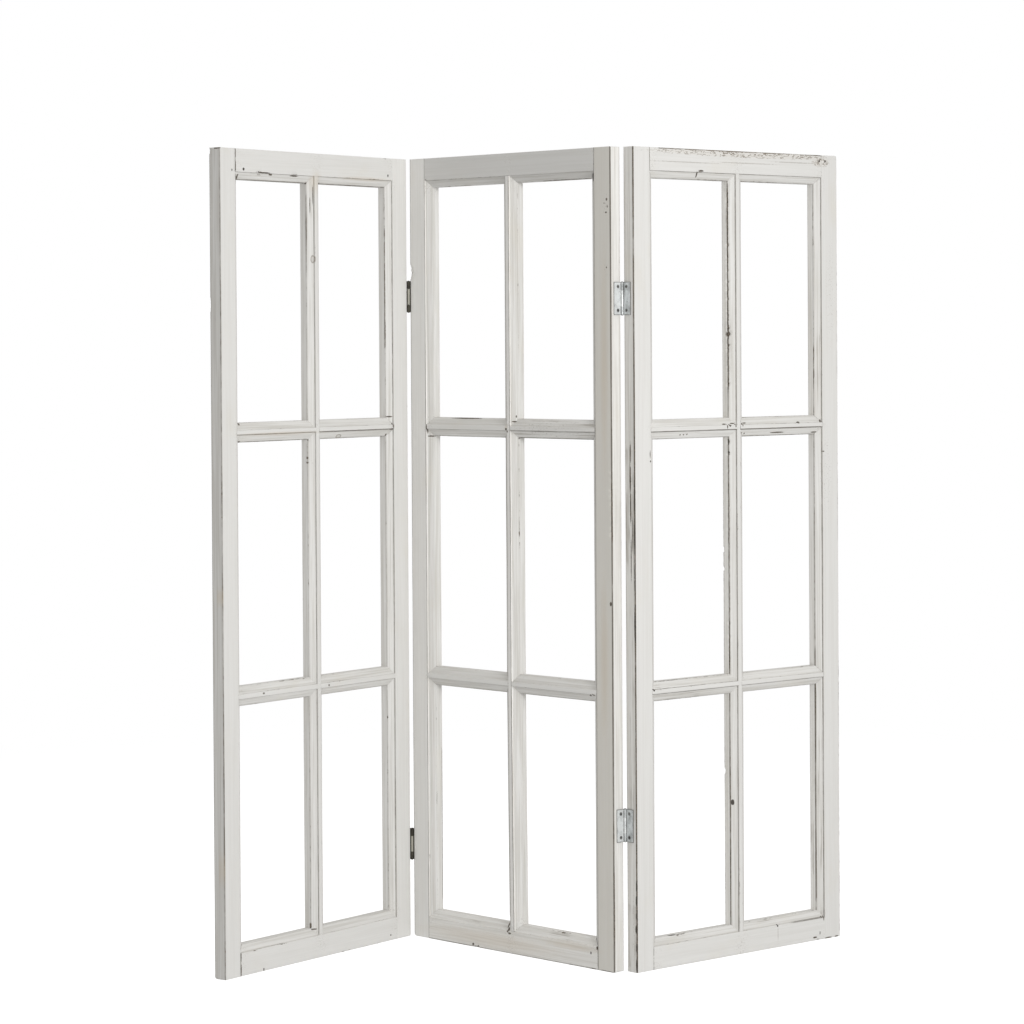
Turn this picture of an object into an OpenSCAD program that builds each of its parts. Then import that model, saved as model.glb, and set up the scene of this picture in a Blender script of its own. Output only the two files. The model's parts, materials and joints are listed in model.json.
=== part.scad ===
// Folding room divider: three window-frame panels joined by butt hinges.
// All sizes are in millimetres. Z is up and the floor is z = 0.
// Each panel is drawn in its own frame first: x runs along its width, its
// moulded front is the plane y = 0 and its plain back is y = wood_t.

/* [Panels] */
// Width of one panel over both stiles
panel_w = 612; // [520:4:700]
// Height of one panel
panel_h = 1700; // [1500:10:1900]
// Thickness of the timber
wood_t = 28.5; // [27:0.5:34]

/* [Stiles and rails] */
// Flat face of a stile or a rail, up to its moulding
face_w = 48; // [42:1:58]
// Width of the sloping moulding
mould_w = 15.5; // [13:0.5:19]
// Fall of the moulding from its quirk to the reveal
mould_drop = 8.5; // [7:0.25:9.5]
// Depth of the quirk, the small step between face and moulding
quirk = 3.5; // [2.5:0.25:4]
// Swell of the moulding over a straight slope
mould_swell = 0.7; // [0.2:0.1:1.2]
// Bevel worn along the outer edges
arris = 1; // [0.5:0.25:2]
// Bevel at the foot of each stile
foot_ease = 3; // [1:0.5:6]

/* [Glazing bars] */
// Raised fillet along the middle of each bar
fillet_w = 10; // [8:0.5:14]
// Height of the upper cross bars, as a share of the panel height
upper_bar_at = 0.657; // [0.62:0.001:0.7]
// Height of the lower cross bars, as a share of the panel height
lower_bar_at = 0.338; // [0.3:0.001:0.38]

/* [Joints in the wood] */
// Thickness of every tenon
tenon_t = 9; // [7:0.5:11]
// Length of the rail tenons
rail_tenon = 45; // [36:1:46]
// Length of the stub tenons on the bars
bar_tenon = 12; // [8:0.5:14]
// Diameter of the dowel through each rail tenon
dowel_d = 6; // [5:0.5:8]
// Room left between two pieces that are fitted together
fit = 0.15; // [0.1:0.05:0.25]

/* [Fold] */
// Turn of the left panel from the row's width, right end away
left_turn = 53.5; // [30:0.5:70]
// Turn of the middle panel the other way
middle_turn = 46; // [30:0.5:70]
// Turn of the right panel, right end away
right_turn = 41.5; // [30:0.5:70]

/* [Hinges] */
// Height of the leaves
hinge_h = 68; // [60:1:80]
// Width of leaf lying on the wood
leaf_reach = 20; // [17:0.5:22]
// Thickness of the leaves
leaf_t = 1.8; // [1.4:0.1:2]
// Outer radius of the rolled knuckles
knuckle_r = 3.2; // [2.9:0.1:3.8]
// Radius of the hinge pin
pin_r = 1.6; // [1.3:0.1:1.9]
// Running room around the pin
pin_room = 0.05; // [0.03:0.01:0.08]
// Share of the height taken by the middle knuckle
middle_knuckle = 0.5; // [0.4:0.02:0.56]
// Middle of the left upper hinges below the panel top
left_hinge_down = 300; // [200:2:400]
// Middle of the left lower hinges above the floor
left_hinge_up = 202; // [150:2:400]
// Middle of the right upper hinges below the panel top
right_hinge_down = 312; // [200:2:400]
// Middle of the right lower hinges above the floor
right_hinge_up = 302; // [150:2:400]

/* [Screws] */
// Radius of the screw shank
screw_r = 1.9; // [1.5:0.1:2.2]
// Radius of the countersunk head
head_r = 3.7; // [3.2:0.1:4.2]
// Length of the screw
screw_len = 18; // [14:1:24]
// Distance between the two screws of a leaf
screw_gap = 49; // [40:1:52]

/* [Hidden] */
$fn = 48;
mould_steps = 6;
white = [0.87, 0.87, 0.85];
shade = [0.80, 0.80, 0.78];
zinc = [0.74, 0.76, 0.78];
dark_zinc = [0.60, 0.62, 0.64];

// Sections
member_w = face_w + mould_w;
reveal_y = quirk + mould_drop;
bar_w = fillet_w + 2 * mould_w;
slope = sqrt(mould_w * mould_w + mould_drop * mould_drop);

// Tenons lie behind the mouldings
tenon_y = reveal_y + (wood_t - reveal_y - tenon_t) * 0.25;
rail_tenon_low = 5;
rail_tenon_high = 14;
rail_tenon_h = member_w - rail_tenon_low - rail_tenon_high;
bar_tenon_w = bar_w * 0.6;
upright_tenon = 20;
mid_x = panel_w / 2;
upper_z = panel_h * upper_bar_at;
lower_z = panel_h * lower_bar_at;

// Dowels are driven from the back and stop short of the front
dowel_x = member_w - rail_tenon * 0.55;
dowel_y = 7;
dowel_low = rail_tenon_high + rail_tenon_h / 2;

// The pin stands off both faces of the wood by the same amount, so that
// the knuckles clear the corner of the stile in every position
pin_off = (knuckle_r + 0.35) / sqrt(2);
knuckle_gap = 0.3;
middle_h = hinge_h * middle_knuckle;
outer_h = (hinge_h - middle_h) / 2;
strap_y = sqrt(pow(knuckle_r + 0.4, 2) - pow(pin_off - leaf_t, 2));
rivet_h = 1;
rivet_r = (pin_r + knuckle_r) / 2;
screw_in = leaf_reach * 0.45;
head_h = leaf_t - 0.1;

left_hinges = [left_hinge_up, panel_h - left_hinge_down];
right_hinges = [right_hinge_up, panel_h - right_hinge_down];

// Plan of the fold: pins and panel corners, left panel first
function turned(p, a) = [p[0] * cos(a) - p[1] * sin(a), p[0] * sin(a) + p[1] * cos(a)];
left_pin_xy = turned([panel_w + pin_off, -pin_off], left_turn);
middle_xy = left_pin_xy - turned([-pin_off, -pin_off], -middle_turn);
right_pin_xy = middle_xy + turned([panel_w + pin_off, wood_t + pin_off], -middle_turn);
right_xy = right_pin_xy - turned([-pin_off, wood_t + pin_off], right_turn);
outline = [
    for (x = [0, panel_w], y = [0, wood_t], k = [0, 1])
        [abs(x - arris * k), abs(y - arris * (1 - k))]
];
spread = concat(
    [for (p = outline) turned(p, left_turn)],
    [for (p = outline) middle_xy + turned(p, -middle_turn)],
    [for (p = outline) right_xy + turned(p, right_turn)]
);
xs = [for (p = spread) p[0]];
ys = [for (p = spread) p[1]];
centre = [(min(xs) + max(xs)) / 2, (min(ys) + max(ys)) / 2];

// A point on the moulding: distance past the quirk and depth from the front
function on_mould(t) = let (b = 4 * mould_swell * t * (1 - t)) [
    mould_w * t + mould_drop / slope * b,
    quirk + mould_drop * t - mould_w / slope * b
];
function mould_run(from, grow) = [
    for (i = [0:mould_steps])
        let (p = on_mould(i / mould_steps)) [from + grow + p[0], p[1] - grow]
];
function mirrored(pts) = [for (i = [len(pts) - 1:-1:0]) [-pts[i][0], pts[i][1]]];

// Section of a stile or rail, from its outer edge towards the panes
member_section = concat(
    [[arris, 0], [face_w, 0]],
    mould_run(face_w, 0),
    [[member_w, wood_t], [arris, wood_t], [0, wood_t - arris], [0, arris]]
);

// Section of a glazing bar about its middle
bar_half = concat([[fillet_w / 2, 0]], mould_run(fillet_w / 2, 0), [[bar_w / 2, wood_t]]);
bar_section = concat(bar_half, mirrored(bar_half));

// The same sections grown by the fit, as the scribing cuts them
member_scribe = concat(
    [[-5, -5], [face_w + fit, -5]],
    mould_run(face_w, fit),
    [[member_w + fit, wood_t + 5], [-5, wood_t + 5]]
);
bar_scribe_half = concat(
    [[fillet_w / 2 + fit, -5]],
    mould_run(fillet_w / 2, fit),
    [[bar_w / 2 + fit, wood_t + 5]]
);
bar_scribe = concat(bar_scribe_half, mirrored(bar_scribe_half));

// A run of moulding along x, its outer edge at z = 0 and the panes below
module along_x(section, length) {
    rotate([0, 90, 0])
        linear_extrude(length)
            polygon(section);
}

module flip_x() {
    translate([panel_w, 0, 0])
        mirror([1, 0, 0])
            children();
}

module flip_z() {
    translate([0, 0, panel_h])
        mirror([0, 0, 1])
            children();
}

module stile_scribe() {
    translate([0, 0, -1])
        linear_extrude(panel_h + 2)
            polygon(member_scribe);
}

module rail_scribe() {
    translate([-1, 0, panel_h])
        along_x(member_scribe, panel_w + 2);
}

module upright_scribe() {
    translate([mid_x, 0, -1])
        linear_extrude(panel_h + 2)
            polygon(bar_scribe);
}

// Tenon or mortise block: grow is 0 for the tenon and fit for its mortise
module rail_tenon_block(grow) {
    translate([member_w - rail_tenon - grow, tenon_y - grow, panel_h - member_w + rail_tenon_low - grow])
        cube([rail_tenon + 2 * grow + 1, tenon_t + 2 * grow, rail_tenon_h + 2 * grow]);
}

module bar_tenon_block(x, side, z, grow) {
    translate([x - (side > 0 ? 1 : bar_tenon + grow), tenon_y - grow, z - bar_tenon_w / 2 - grow])
        cube([bar_tenon + grow + 1, tenon_t + 2 * grow, bar_tenon_w + 2 * grow]);
}

module upright_tenon_block(grow) {
    translate([mid_x - bar_tenon_w / 2 - grow, tenon_y - grow, panel_h - member_w - 1])
        cube([bar_tenon_w + 2 * grow, tenon_t + 2 * grow, upright_tenon + grow + 1]);
}

module dowel_rod(grow) {
    translate([dowel_x, dowel_y - grow, panel_h - dowel_low])
        rotate([-90, 0, 0])
            cylinder(d = dowel_d + 2 * grow, h = wood_t - dowel_y + (grow > 0 ? 5 : 0));
}

// Pilot holes that the hinge screws take, in the edge at x = 0
module pilot_holes(heights, y) {
    for (z = heights, s = [-1, 1])
        translate([-1, y, z + s * screw_gap / 2])
            rotate([0, 90, 0])
                cylinder(r = screw_r + 0.1, h = screw_len - leaf_t + 2);
}

// Left stile; the right one is its mirror image
module stile(hinge_heights, screw_y) {
    difference() {
        intersection() {
            linear_extrude(panel_h)
                polygon(member_section);
            translate([0, wood_t + 1, 0])
                rotate([90, 0, 0])
                    linear_extrude(wood_t + 2)
                        polygon([
                            [foot_ease, 0], [member_w + 1, 0], [member_w + 1, panel_h],
                            [arris, panel_h], [0, panel_h - arris], [0, foot_ease]
                        ]);
        }
        rail_tenon_block(fit);
        flip_z() rail_tenon_block(fit);
        bar_tenon_block(member_w, -1, upper_z, fit);
        bar_tenon_block(member_w, -1, lower_z, fit);
        dowel_rod(fit);
        flip_z() dowel_rod(fit);
        pilot_holes(hinge_heights, screw_y);
    }
}

// Top rail; the bottom one is its mirror image
module rail() {
    difference() {
        union() {
            difference() {
                translate([0, 0, panel_h])
                    along_x(member_section, panel_w);
                stile_scribe();
                flip_x() stile_scribe();
            }
            rail_tenon_block(0);
            flip_x() rail_tenon_block(0);
        }
        upright_tenon_block(fit);
        dowel_rod(fit);
        flip_x() dowel_rod(fit);
    }
}

module upright_bar() {
    difference() {
        union() {
            difference() {
                translate([mid_x, 0, 0])
                    linear_extrude(panel_h)
                        polygon(bar_section);
                rail_scribe();
                flip_z() rail_scribe();
            }
            upright_tenon_block(0);
            flip_z() upright_tenon_block(0);
        }
        for (z = [lower_z, upper_z]) {
            bar_tenon_block(mid_x - bar_w / 2, 1, z, fit);
            bar_tenon_block(mid_x + bar_w / 2, -1, z, fit);
        }
    }
}

// Left cross bar at height z, scribed over stile and upright
module cross_bar(z) {
    difference() {
        translate([0, 0, z])
            along_x(bar_section, mid_x);
        stile_scribe();
        upright_scribe();
    }
    bar_tenon_block(member_w, -1, z, 0);
    bar_tenon_block(mid_x - bar_w / 2, 1, z, 0);
}

module dowels() {
    dowel_rod(0);
    flip_x() dowel_rod(0);
    flip_z() dowel_rod(0);
    flip_x() flip_z() dowel_rod(0);
}

// Knuckle spans as [from, to]: the fork has two, the tongue one between
fork_spans = [[0, outer_h - knuckle_gap / 2], [hinge_h - outer_h + knuckle_gap / 2, hinge_h]];
tongue_spans = [[outer_h + knuckle_gap / 2, hinge_h - outer_h - knuckle_gap / 2]];

// Leaf about its pin: the wood is on the -x side and runs towards +y
module leaf(spans) {
    translate([0, 0, -hinge_h / 2])
        difference() {
            union() {
                translate([-pin_off, strap_y, 0])
                    cube([leaf_t, pin_off + leaf_reach - strap_y, hinge_h]);
                for (k = spans) {
                    translate([-pin_off, 0, k[0]])
                        cube([leaf_t, strap_y + 0.5, k[1] - k[0]]);
                    translate([0, 0, k[0]])
                        cylinder(r = knuckle_r, h = k[1] - k[0]);
                }
            }
            translate([0, 0, -1])
                cylinder(r = pin_r + pin_room, h = hinge_h + 2);
            for (s = [-1, 1])
                translate([-pin_off + leaf_t, pin_off + screw_in, hinge_h / 2 + s * screw_gap / 2])
                    rotate([0, -90, 0]) {
                        translate([0, 0, -1])
                            cylinder(r = head_r + 0.1, h = 1.001);
                        cylinder(r1 = head_r + 0.1, r2 = screw_r + 0.1, h = head_h);
                        cylinder(r = screw_r + 0.1, h = leaf_t + 1);
                    }
        }
}

// Pin riveted over at both ends
module pin() {
    cylinder(r = pin_r, h = hinge_h, center = true);
    for (s = [0, 1])
        mirror([0, 0, s])
            translate([0, 0, hinge_h / 2])
                cylinder(r1 = rivet_r, r2 = pin_r, h = rivet_h);
}

module screw() {
    rotate([0, -90, 0])
        difference() {
            union() {
                cylinder(r1 = head_r, r2 = screw_r, h = head_h);
                translate([0, 0, head_h])
                    cylinder(r = screw_r, h = screw_len - head_h - 4);
                translate([0, 0, screw_len - 4])
                    cylinder(r1 = screw_r, r2 = 0.4, h = 4);
            }
            for (a = [0, 90])
                rotate([0, 0, a])
                    cube([head_r * 1.1, 0.9, 1.8], center = true);
        }
}

module leaf_screws() {
    for (s = [-1, 1])
        translate([-pin_off + leaf_t, pin_off + screw_in, s * screw_gap / 2])
            screw();
}

// The four places of a leaf in its panel's own frame
module right_edge_front(z) {
    translate([panel_w + pin_off, -pin_off, z])
        children();
}

module left_edge_front(z) {
    translate([-pin_off, -pin_off, z])
        mirror([1, 0, 0])
            children();
}

module right_edge_back(z) {
    translate([panel_w + pin_off, wood_t + pin_off, z])
        mirror([0, 1, 0])
            children();
}

module left_edge_back(z) {
    translate([-pin_off, wood_t + pin_off, z])
        rotate([0, 0, 180])
            children();
}

// Each panel's place in the folded row
module in_left() {
    translate([-centre[0], -centre[1], 0])
        rotate([0, 0, left_turn])
            children();
}

module in_middle() {
    translate([middle_xy[0] - centre[0], middle_xy[1] - centre[1], 0])
        rotate([0, 0, -middle_turn])
            children();
}

module in_right() {
    translate([right_xy[0] - centre[0], right_xy[1] - centre[1], 0])
        rotate([0, 0, right_turn])
            children();
}

// Left panel
module left_left_stile() {
    color(white) in_left() stile([], 0);
}

module left_right_stile() {
    color(white) in_left() flip_x() stile(left_hinges, screw_in);
}

module left_top_rail() {
    color(white) in_left() rail();
}

module left_bottom_rail() {
    color(white) in_left() flip_z() rail();
}

module left_upright_bar() {
    color(white) in_left() upright_bar();
}

module left_upper_left_bar() {
    color(white) in_left() cross_bar(upper_z);
}

module left_upper_right_bar() {
    color(white) in_left() flip_x() cross_bar(upper_z);
}

module left_lower_left_bar() {
    color(white) in_left() cross_bar(lower_z);
}

module left_lower_right_bar() {
    color(white) in_left() flip_x() cross_bar(lower_z);
}

module left_dowels() {
    color(shade) in_left() dowels();
}

// Middle panel
module middle_left_stile() {
    color(white) in_middle() stile(left_hinges, screw_in);
}

module middle_right_stile() {
    color(white) in_middle() flip_x() stile(right_hinges, wood_t - screw_in);
}

module middle_top_rail() {
    color(white) in_middle() rail();
}

module middle_bottom_rail() {
    color(white) in_middle() flip_z() rail();
}

module middle_upright_bar() {
    color(white) in_middle() upright_bar();
}

module middle_upper_left_bar() {
    color(white) in_middle() cross_bar(upper_z);
}

module middle_upper_right_bar() {
    color(white) in_middle() flip_x() cross_bar(upper_z);
}

module middle_lower_left_bar() {
    color(white) in_middle() cross_bar(lower_z);
}

module middle_lower_right_bar() {
    color(white) in_middle() flip_x() cross_bar(lower_z);
}

module middle_dowels() {
    color(shade) in_middle() dowels();
}

// Right panel
module right_left_stile() {
    color(white) in_right() stile(right_hinges, wood_t - screw_in);
}

module right_right_stile() {
    color(white) in_right() flip_x() stile([], 0);
}

module right_top_rail() {
    color(white) in_right() rail();
}

module right_bottom_rail() {
    color(white) in_right() flip_z() rail();
}

module right_upright_bar() {
    color(white) in_right() upright_bar();
}

module right_upper_left_bar() {
    color(white) in_right() cross_bar(upper_z);
}

module right_upper_right_bar() {
    color(white) in_right() flip_x() cross_bar(upper_z);
}

module right_lower_left_bar() {
    color(white) in_right() cross_bar(lower_z);
}

module right_lower_right_bar() {
    color(white) in_right() flip_x() cross_bar(lower_z);
}

module right_dowels() {
    color(shade) in_right() dowels();
}

// Hinges between the left and middle panels, pins at the front
module left_hinge_upper_fork_leaf() {
    color(zinc) in_left() right_edge_front(left_hinges[1]) leaf(fork_spans);
}

module left_hinge_upper_tongue_leaf() {
    color(zinc) in_middle() left_edge_front(left_hinges[1]) leaf(tongue_spans);
}

module left_hinge_upper_pin() {
    color(dark_zinc) in_left() right_edge_front(left_hinges[1]) pin();
}

module left_hinge_lower_fork_leaf() {
    color(zinc) in_left() right_edge_front(left_hinges[0]) leaf(fork_spans);
}

module left_hinge_lower_tongue_leaf() {
    color(zinc) in_middle() left_edge_front(left_hinges[0]) leaf(tongue_spans);
}

module left_hinge_lower_pin() {
    color(dark_zinc) in_left() right_edge_front(left_hinges[0]) pin();
}

// Hinges between the middle and right panels, pins at the back
module right_hinge_upper_fork_leaf() {
    color(zinc) in_right() left_edge_back(right_hinges[1]) leaf(fork_spans);
}

module right_hinge_upper_tongue_leaf() {
    color(zinc) in_middle() right_edge_back(right_hinges[1]) leaf(tongue_spans);
}

module right_hinge_upper_pin() {
    color(dark_zinc) in_right() left_edge_back(right_hinges[1]) pin();
}

module right_hinge_lower_fork_leaf() {
    color(zinc) in_right() left_edge_back(right_hinges[0]) leaf(fork_spans);
}

module right_hinge_lower_tongue_leaf() {
    color(zinc) in_middle() right_edge_back(right_hinges[0]) leaf(tongue_spans);
}

module right_hinge_lower_pin() {
    color(dark_zinc) in_right() left_edge_back(right_hinges[0]) pin();
}

// Countersunk screws, one group for each panel
module left_panel_screws() {
    color(dark_zinc) in_left()
        for (z = left_hinges)
            right_edge_front(z) leaf_screws();
}

module middle_panel_screws() {
    color(dark_zinc) in_middle() {
        for (z = left_hinges)
            left_edge_front(z) leaf_screws();
        for (z = right_hinges)
            right_edge_back(z) leaf_screws();
    }
}

module right_panel_screws() {
    color(dark_zinc) in_right()
        for (z = right_hinges)
            left_edge_back(z) leaf_screws();
}

left_left_stile();
left_right_stile();
left_top_rail();
left_bottom_rail();
left_upright_bar();
left_upper_left_bar();
left_upper_right_bar();
left_lower_left_bar();
left_lower_right_bar();
left_dowels();
middle_left_stile();
middle_right_stile();
middle_top_rail();
middle_bottom_rail();
middle_upright_bar();
middle_upper_left_bar();
middle_upper_right_bar();
middle_lower_left_bar();
middle_lower_right_bar();
middle_dowels();
right_left_stile();
right_right_stile();
right_top_rail();
right_bottom_rail();
right_upright_bar();
right_upper_left_bar();
right_upper_right_bar();
right_lower_left_bar();
right_lower_right_bar();
right_dowels();
left_hinge_upper_fork_leaf();
left_hinge_upper_tongue_leaf();
left_hinge_upper_pin();
left_hinge_lower_fork_leaf();
left_hinge_lower_tongue_leaf();
left_hinge_lower_pin();
right_hinge_upper_fork_leaf();
right_hinge_upper_tongue_leaf();
right_hinge_upper_pin();
right_hinge_lower_fork_leaf();
right_hinge_lower_tongue_leaf();
right_hinge_lower_pin();
left_panel_screws();
middle_panel_screws();
right_panel_screws();
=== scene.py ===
"""Folding room divider: three worn, white painted window frames on steel butt hinges.

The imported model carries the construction. This script builds the timber as it was
moulded, coped, painted and worn, gives the hinges their plating, and sets the whole
up in a pale studio. Timber sizes are in millimetres, and the frame is in metres.
"""

import json
import logging
import math
from dataclasses import dataclass, field, replace
from enum import Enum
from functools import partial

import bpy
import numpy as np
from mathutils import Matrix, Vector


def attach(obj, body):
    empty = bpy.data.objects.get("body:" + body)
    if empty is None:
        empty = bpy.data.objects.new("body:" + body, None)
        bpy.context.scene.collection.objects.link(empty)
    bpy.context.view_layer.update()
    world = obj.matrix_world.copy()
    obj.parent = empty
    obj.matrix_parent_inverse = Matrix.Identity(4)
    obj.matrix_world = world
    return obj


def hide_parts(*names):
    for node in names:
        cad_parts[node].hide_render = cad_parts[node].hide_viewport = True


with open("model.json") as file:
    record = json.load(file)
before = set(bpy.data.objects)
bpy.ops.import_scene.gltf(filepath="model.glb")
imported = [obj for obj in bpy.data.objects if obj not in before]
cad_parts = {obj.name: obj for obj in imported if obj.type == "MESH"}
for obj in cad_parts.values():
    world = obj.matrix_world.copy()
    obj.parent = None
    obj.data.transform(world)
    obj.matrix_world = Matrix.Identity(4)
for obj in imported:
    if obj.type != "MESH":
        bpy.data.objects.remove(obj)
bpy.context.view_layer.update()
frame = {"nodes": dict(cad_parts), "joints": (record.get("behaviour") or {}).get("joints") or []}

MM = 0.001
PANEL_SEEDS = 1000
WHITE = (1, 1, 1, 1)
Triple = tuple[float, float, float]
Colour = Triple

log = logging.getLogger("divider")


# Shader bench

class Signal:
    """A shader socket that turns Python arithmetic into Math nodes."""

    def __init__(self, bench: "Bench", socket: bpy.types.NodeSocket) -> None:
        """Keep the socket and the bench that its nodes go on."""
        self.bench = bench
        self.socket = socket

    def _math(self, operation: str, *values: "Signal | float") -> "Signal":
        """Add one Math node over the given values."""
        return self.bench.node("ShaderNodeMath", {"operation": operation}, dict(enumerate(values)))

    def __add__(self, other: "Signal | float") -> "Signal":
        """Sum of the two."""
        return self._math("ADD", self, other)

    __radd__ = __add__

    def __sub__(self, other: "Signal | float") -> "Signal":
        """This less the other."""
        return self._math("SUBTRACT", self, other)

    def __rsub__(self, other: float) -> "Signal":
        """The other less this."""
        return self._math("SUBTRACT", other, self)

    def __mul__(self, other: "Signal | float") -> "Signal":
        """Product of the two."""
        return self._math("MULTIPLY", self, other)

    __rmul__ = __mul__

    def highest(self, other: "Signal | float") -> "Signal":
        """The larger of the two."""
        return self._math("MAXIMUM", self, other)

    def step(self, low: float, high: float, bottom: float = 0.0, top: float = 1.0) -> "Signal":
        """Soft step between two levels.

        Args:
            low: value that gives bottom.
            high: value that gives top.
            bottom: result at or under low.
            top: result at or over high.

        Returns:
            The stepped signal.
        """
        return self.bench.node(
            "ShaderNodeMapRange",
            {"interpolation_type": "SMOOTHSTEP"},
            {"Value": self, "From Min": low, "From Max": high, "To Min": bottom, "To Max": top},
        )


class Bench:
    """The node tree of one material or world, with short methods for what is used most."""

    def __init__(self, owner: bpy.types.Material | bpy.types.World) -> None:
        """Start with an empty tree on the owner.

        Args:
            owner: the material or world.
        """
        self.owner = owner
        owner.use_nodes = True
        self.tree = owner.node_tree
        self.tree.nodes.clear()

    @classmethod
    def material(cls, name: str) -> "Bench":
        """Start a new material of that name."""
        return cls(bpy.data.materials.new(name))

    def node(
        self,
        kind: str,
        settings: dict[str, object] | None = None,
        sockets: dict[str | int, object] | None = None,
        output: str | int = 0,
    ) -> Signal | None:
        """Add a node.

        Args:
            kind: Blender's type name of the node.
            settings: properties that are set before the sockets.
            sockets: values or signals by the name or number of the input.
            output: name or number of the output that is handed back.

        Returns:
            The chosen output, or nothing from a node that has none.
        """
        made = self.tree.nodes.new(kind)
        for key, value in (settings or {}).items():
            setattr(made, key, value)
        for key, value in (sockets or {}).items():
            if isinstance(value, Signal):
                self.tree.links.new(value.socket, made.inputs[key])
            else:
                made.inputs[key].default_value = value
        return Signal(self, made.outputs[output]) if made.outputs else None

    def attribute(self, name: str, output: str = "Fac") -> Signal:
        """Read an attribute that the mesh carries."""
        return self.node("ShaderNodeAttribute", {"attribute_name": name}, output=output)

    def stretch(self, vector: Signal, scale: Triple, shift: Triple = (0.0, 0.0, 0.0)) -> Signal:
        """Scale and shift a coordinate.

        Args:
            vector: the coordinate.
            scale: factor of each axis.
            shift: what is added after that.

        Returns:
            The new coordinate.
        """
        return self.node(
            "ShaderNodeVectorMath", {"operation": "MULTIPLY_ADD"}, {0: vector, 1: scale, 2: shift}
        )

    def noise(self, vector: Signal, detail: float = 2.0, roughness: float = 0.5) -> Signal:
        """Fractal noise over a coordinate that is already scaled.

        Args:
            vector: the coordinate.
            detail: how many octaves it has.
            roughness: how strong the finer ones are.

        Returns:
            Noise about 0.5.
        """
        return self.node(
            "ShaderNodeTexNoise",
            {"noise_dimensions": "3D"},
            {"Vector": vector, "Scale": 1.0, "Detail": detail, "Roughness": roughness},
        )

    def blend(self, factor: Signal | float, first: Signal | Colour, second: Signal | Colour) -> Signal:
        """Mix two colours by a factor.

        Args:
            factor: share of the second.
            first: a colour or a signal.
            second: a colour or a signal.

        Returns:
            The mixed colour.
        """
        first, second = (v if isinstance(v, Signal) else (*v, 1.0) for v in (first, second))
        return self.node(
            "ShaderNodeMix",
            {"data_type": "RGBA", "clamp_factor": True},
            {0: factor, 6: first, 7: second},
            output=2,
        )

    def bump(self, height: Signal, distance: float) -> Signal:
        """Turn a height of 0 to 1 into a normal, distance being the full height in metres."""
        return self.node("ShaderNodeBump", {}, {"Height": height, "Distance": distance}, "Normal")

    def surface(self, sockets: dict[str | int, object]) -> bpy.types.Material:
        """Finish the material with one Principled shader.

        Args:
            sockets: the shader's inputs.

        Returns:
            The material.
        """
        shader = self.node("ShaderNodeBsdfPrincipled", {}, sockets)
        self.node("ShaderNodeOutputMaterial", {}, {"Surface": shader})
        return self.owner


# Objects

def put(name: str, data: bpy.types.ID) -> bpy.types.Object:
    """Put a new object with that data in the scene.

    Args:
        name: the object's name.
        data: its mesh, light or camera.

    Returns:
        The object.
    """
    made = bpy.data.objects.new(name, data)
    bpy.context.scene.collection.objects.link(made)
    return made


def put_painted(
    name: str,
    points: np.ndarray,
    faces: list[tuple[int, ...]],
    place: Matrix,
    values: dict[str, np.ndarray],
) -> bpy.types.Object:
    """Make a smooth mesh with what its paint reads, and put it in the scene.

    Args:
        name: the object's name.
        points: its vertices in the panel's own frame, in metres.
        faces: its faces.
        place: the panel's place.
        values: one value, or one vector, for each vertex, by attribute name.

    Returns:
        The object.
    """
    mesh = bpy.data.meshes.new(name)
    turn = np.array(place)
    mesh.from_pydata((points @ turn[:3, :3].T + turn[:3, 3]).tolist(), [], faces)
    mesh.polygons.foreach_set("use_smooth", np.ones(len(mesh.polygons), dtype=bool))
    for key, value in {"place": points, **values}.items():
        vector = value.ndim == 2 and len(value) == len(points)
        kind, field_name = ("FLOAT_VECTOR", "vector") if vector else ("FLOAT", "value")
        flat = value.astype(np.float32).ravel()
        mesh.attributes.new(key, kind, "POINT").data.foreach_set(field_name, flat)
    mesh.update()
    return put(name, mesh)


def bands(first: int, count: int, sides: int) -> list[tuple[int, ...]]:
    """Faces of so many bands, each between one ring of vertices and the next.

    Args:
        first: index of the first ring's first vertex.
        count: how many bands.
        sides: vertices in a ring.

    Returns:
        The faces, band by band.
    """
    faces = []
    for start in range(first, first + count * sides, sides):
        for k in range(sides):
            here, after = start + k, start + (k + 1) % sides
            faces.append((here, here + sides, after + sides, after))
    return faces


# Timber

class Part(Enum):
    """The lines and surfaces that run along a piece of timber."""

    FRONT = "outer front edge"
    QUIRK = "top of the quirk"
    WALL = "wall of the quirk"
    FOOT = "bottom of the quirk"
    NOSE = "lower edge of the moulding"
    BACK = "back edge"
    FACE = "front face"
    SLOPE = "slope of the moulding"
    REVEAL = "side towards the pane"
    OUTSIDE = "side away from the pane"
    REAR = "back face"


class Side(Enum):
    """The two sides of a section."""

    LOW = "side at the smaller measure across"
    HIGH = "side at the larger measure across"


class Crossing(Enum):
    """What the end of a piece meets."""

    NONE = "sawn square"
    MEMBER = "coped over a stile or rail"
    BAR = "coped over a glazing bar"


FRONT, QUIRK, WALL, FOOT, NOSE, BACK, FACE, SLOPE, REVEAL, OUTSIDE, REAR = Part
LOW, HIGH = Side

EDGES = (FRONT, QUIRK, FOOT, NOSE, BACK)
SMOOTH = (FACE, FRONT, QUIRK, REAR)
# How dark each part's seams are: dirt and painted shade along the quirk and the nose.
SEAM_DIRT_AND_SHADE = {WALL: 0.3, FOOT: 1.0, NOSE: 0.5}
Line = tuple[Side, Part]
Point = tuple[float, float, Part]


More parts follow.
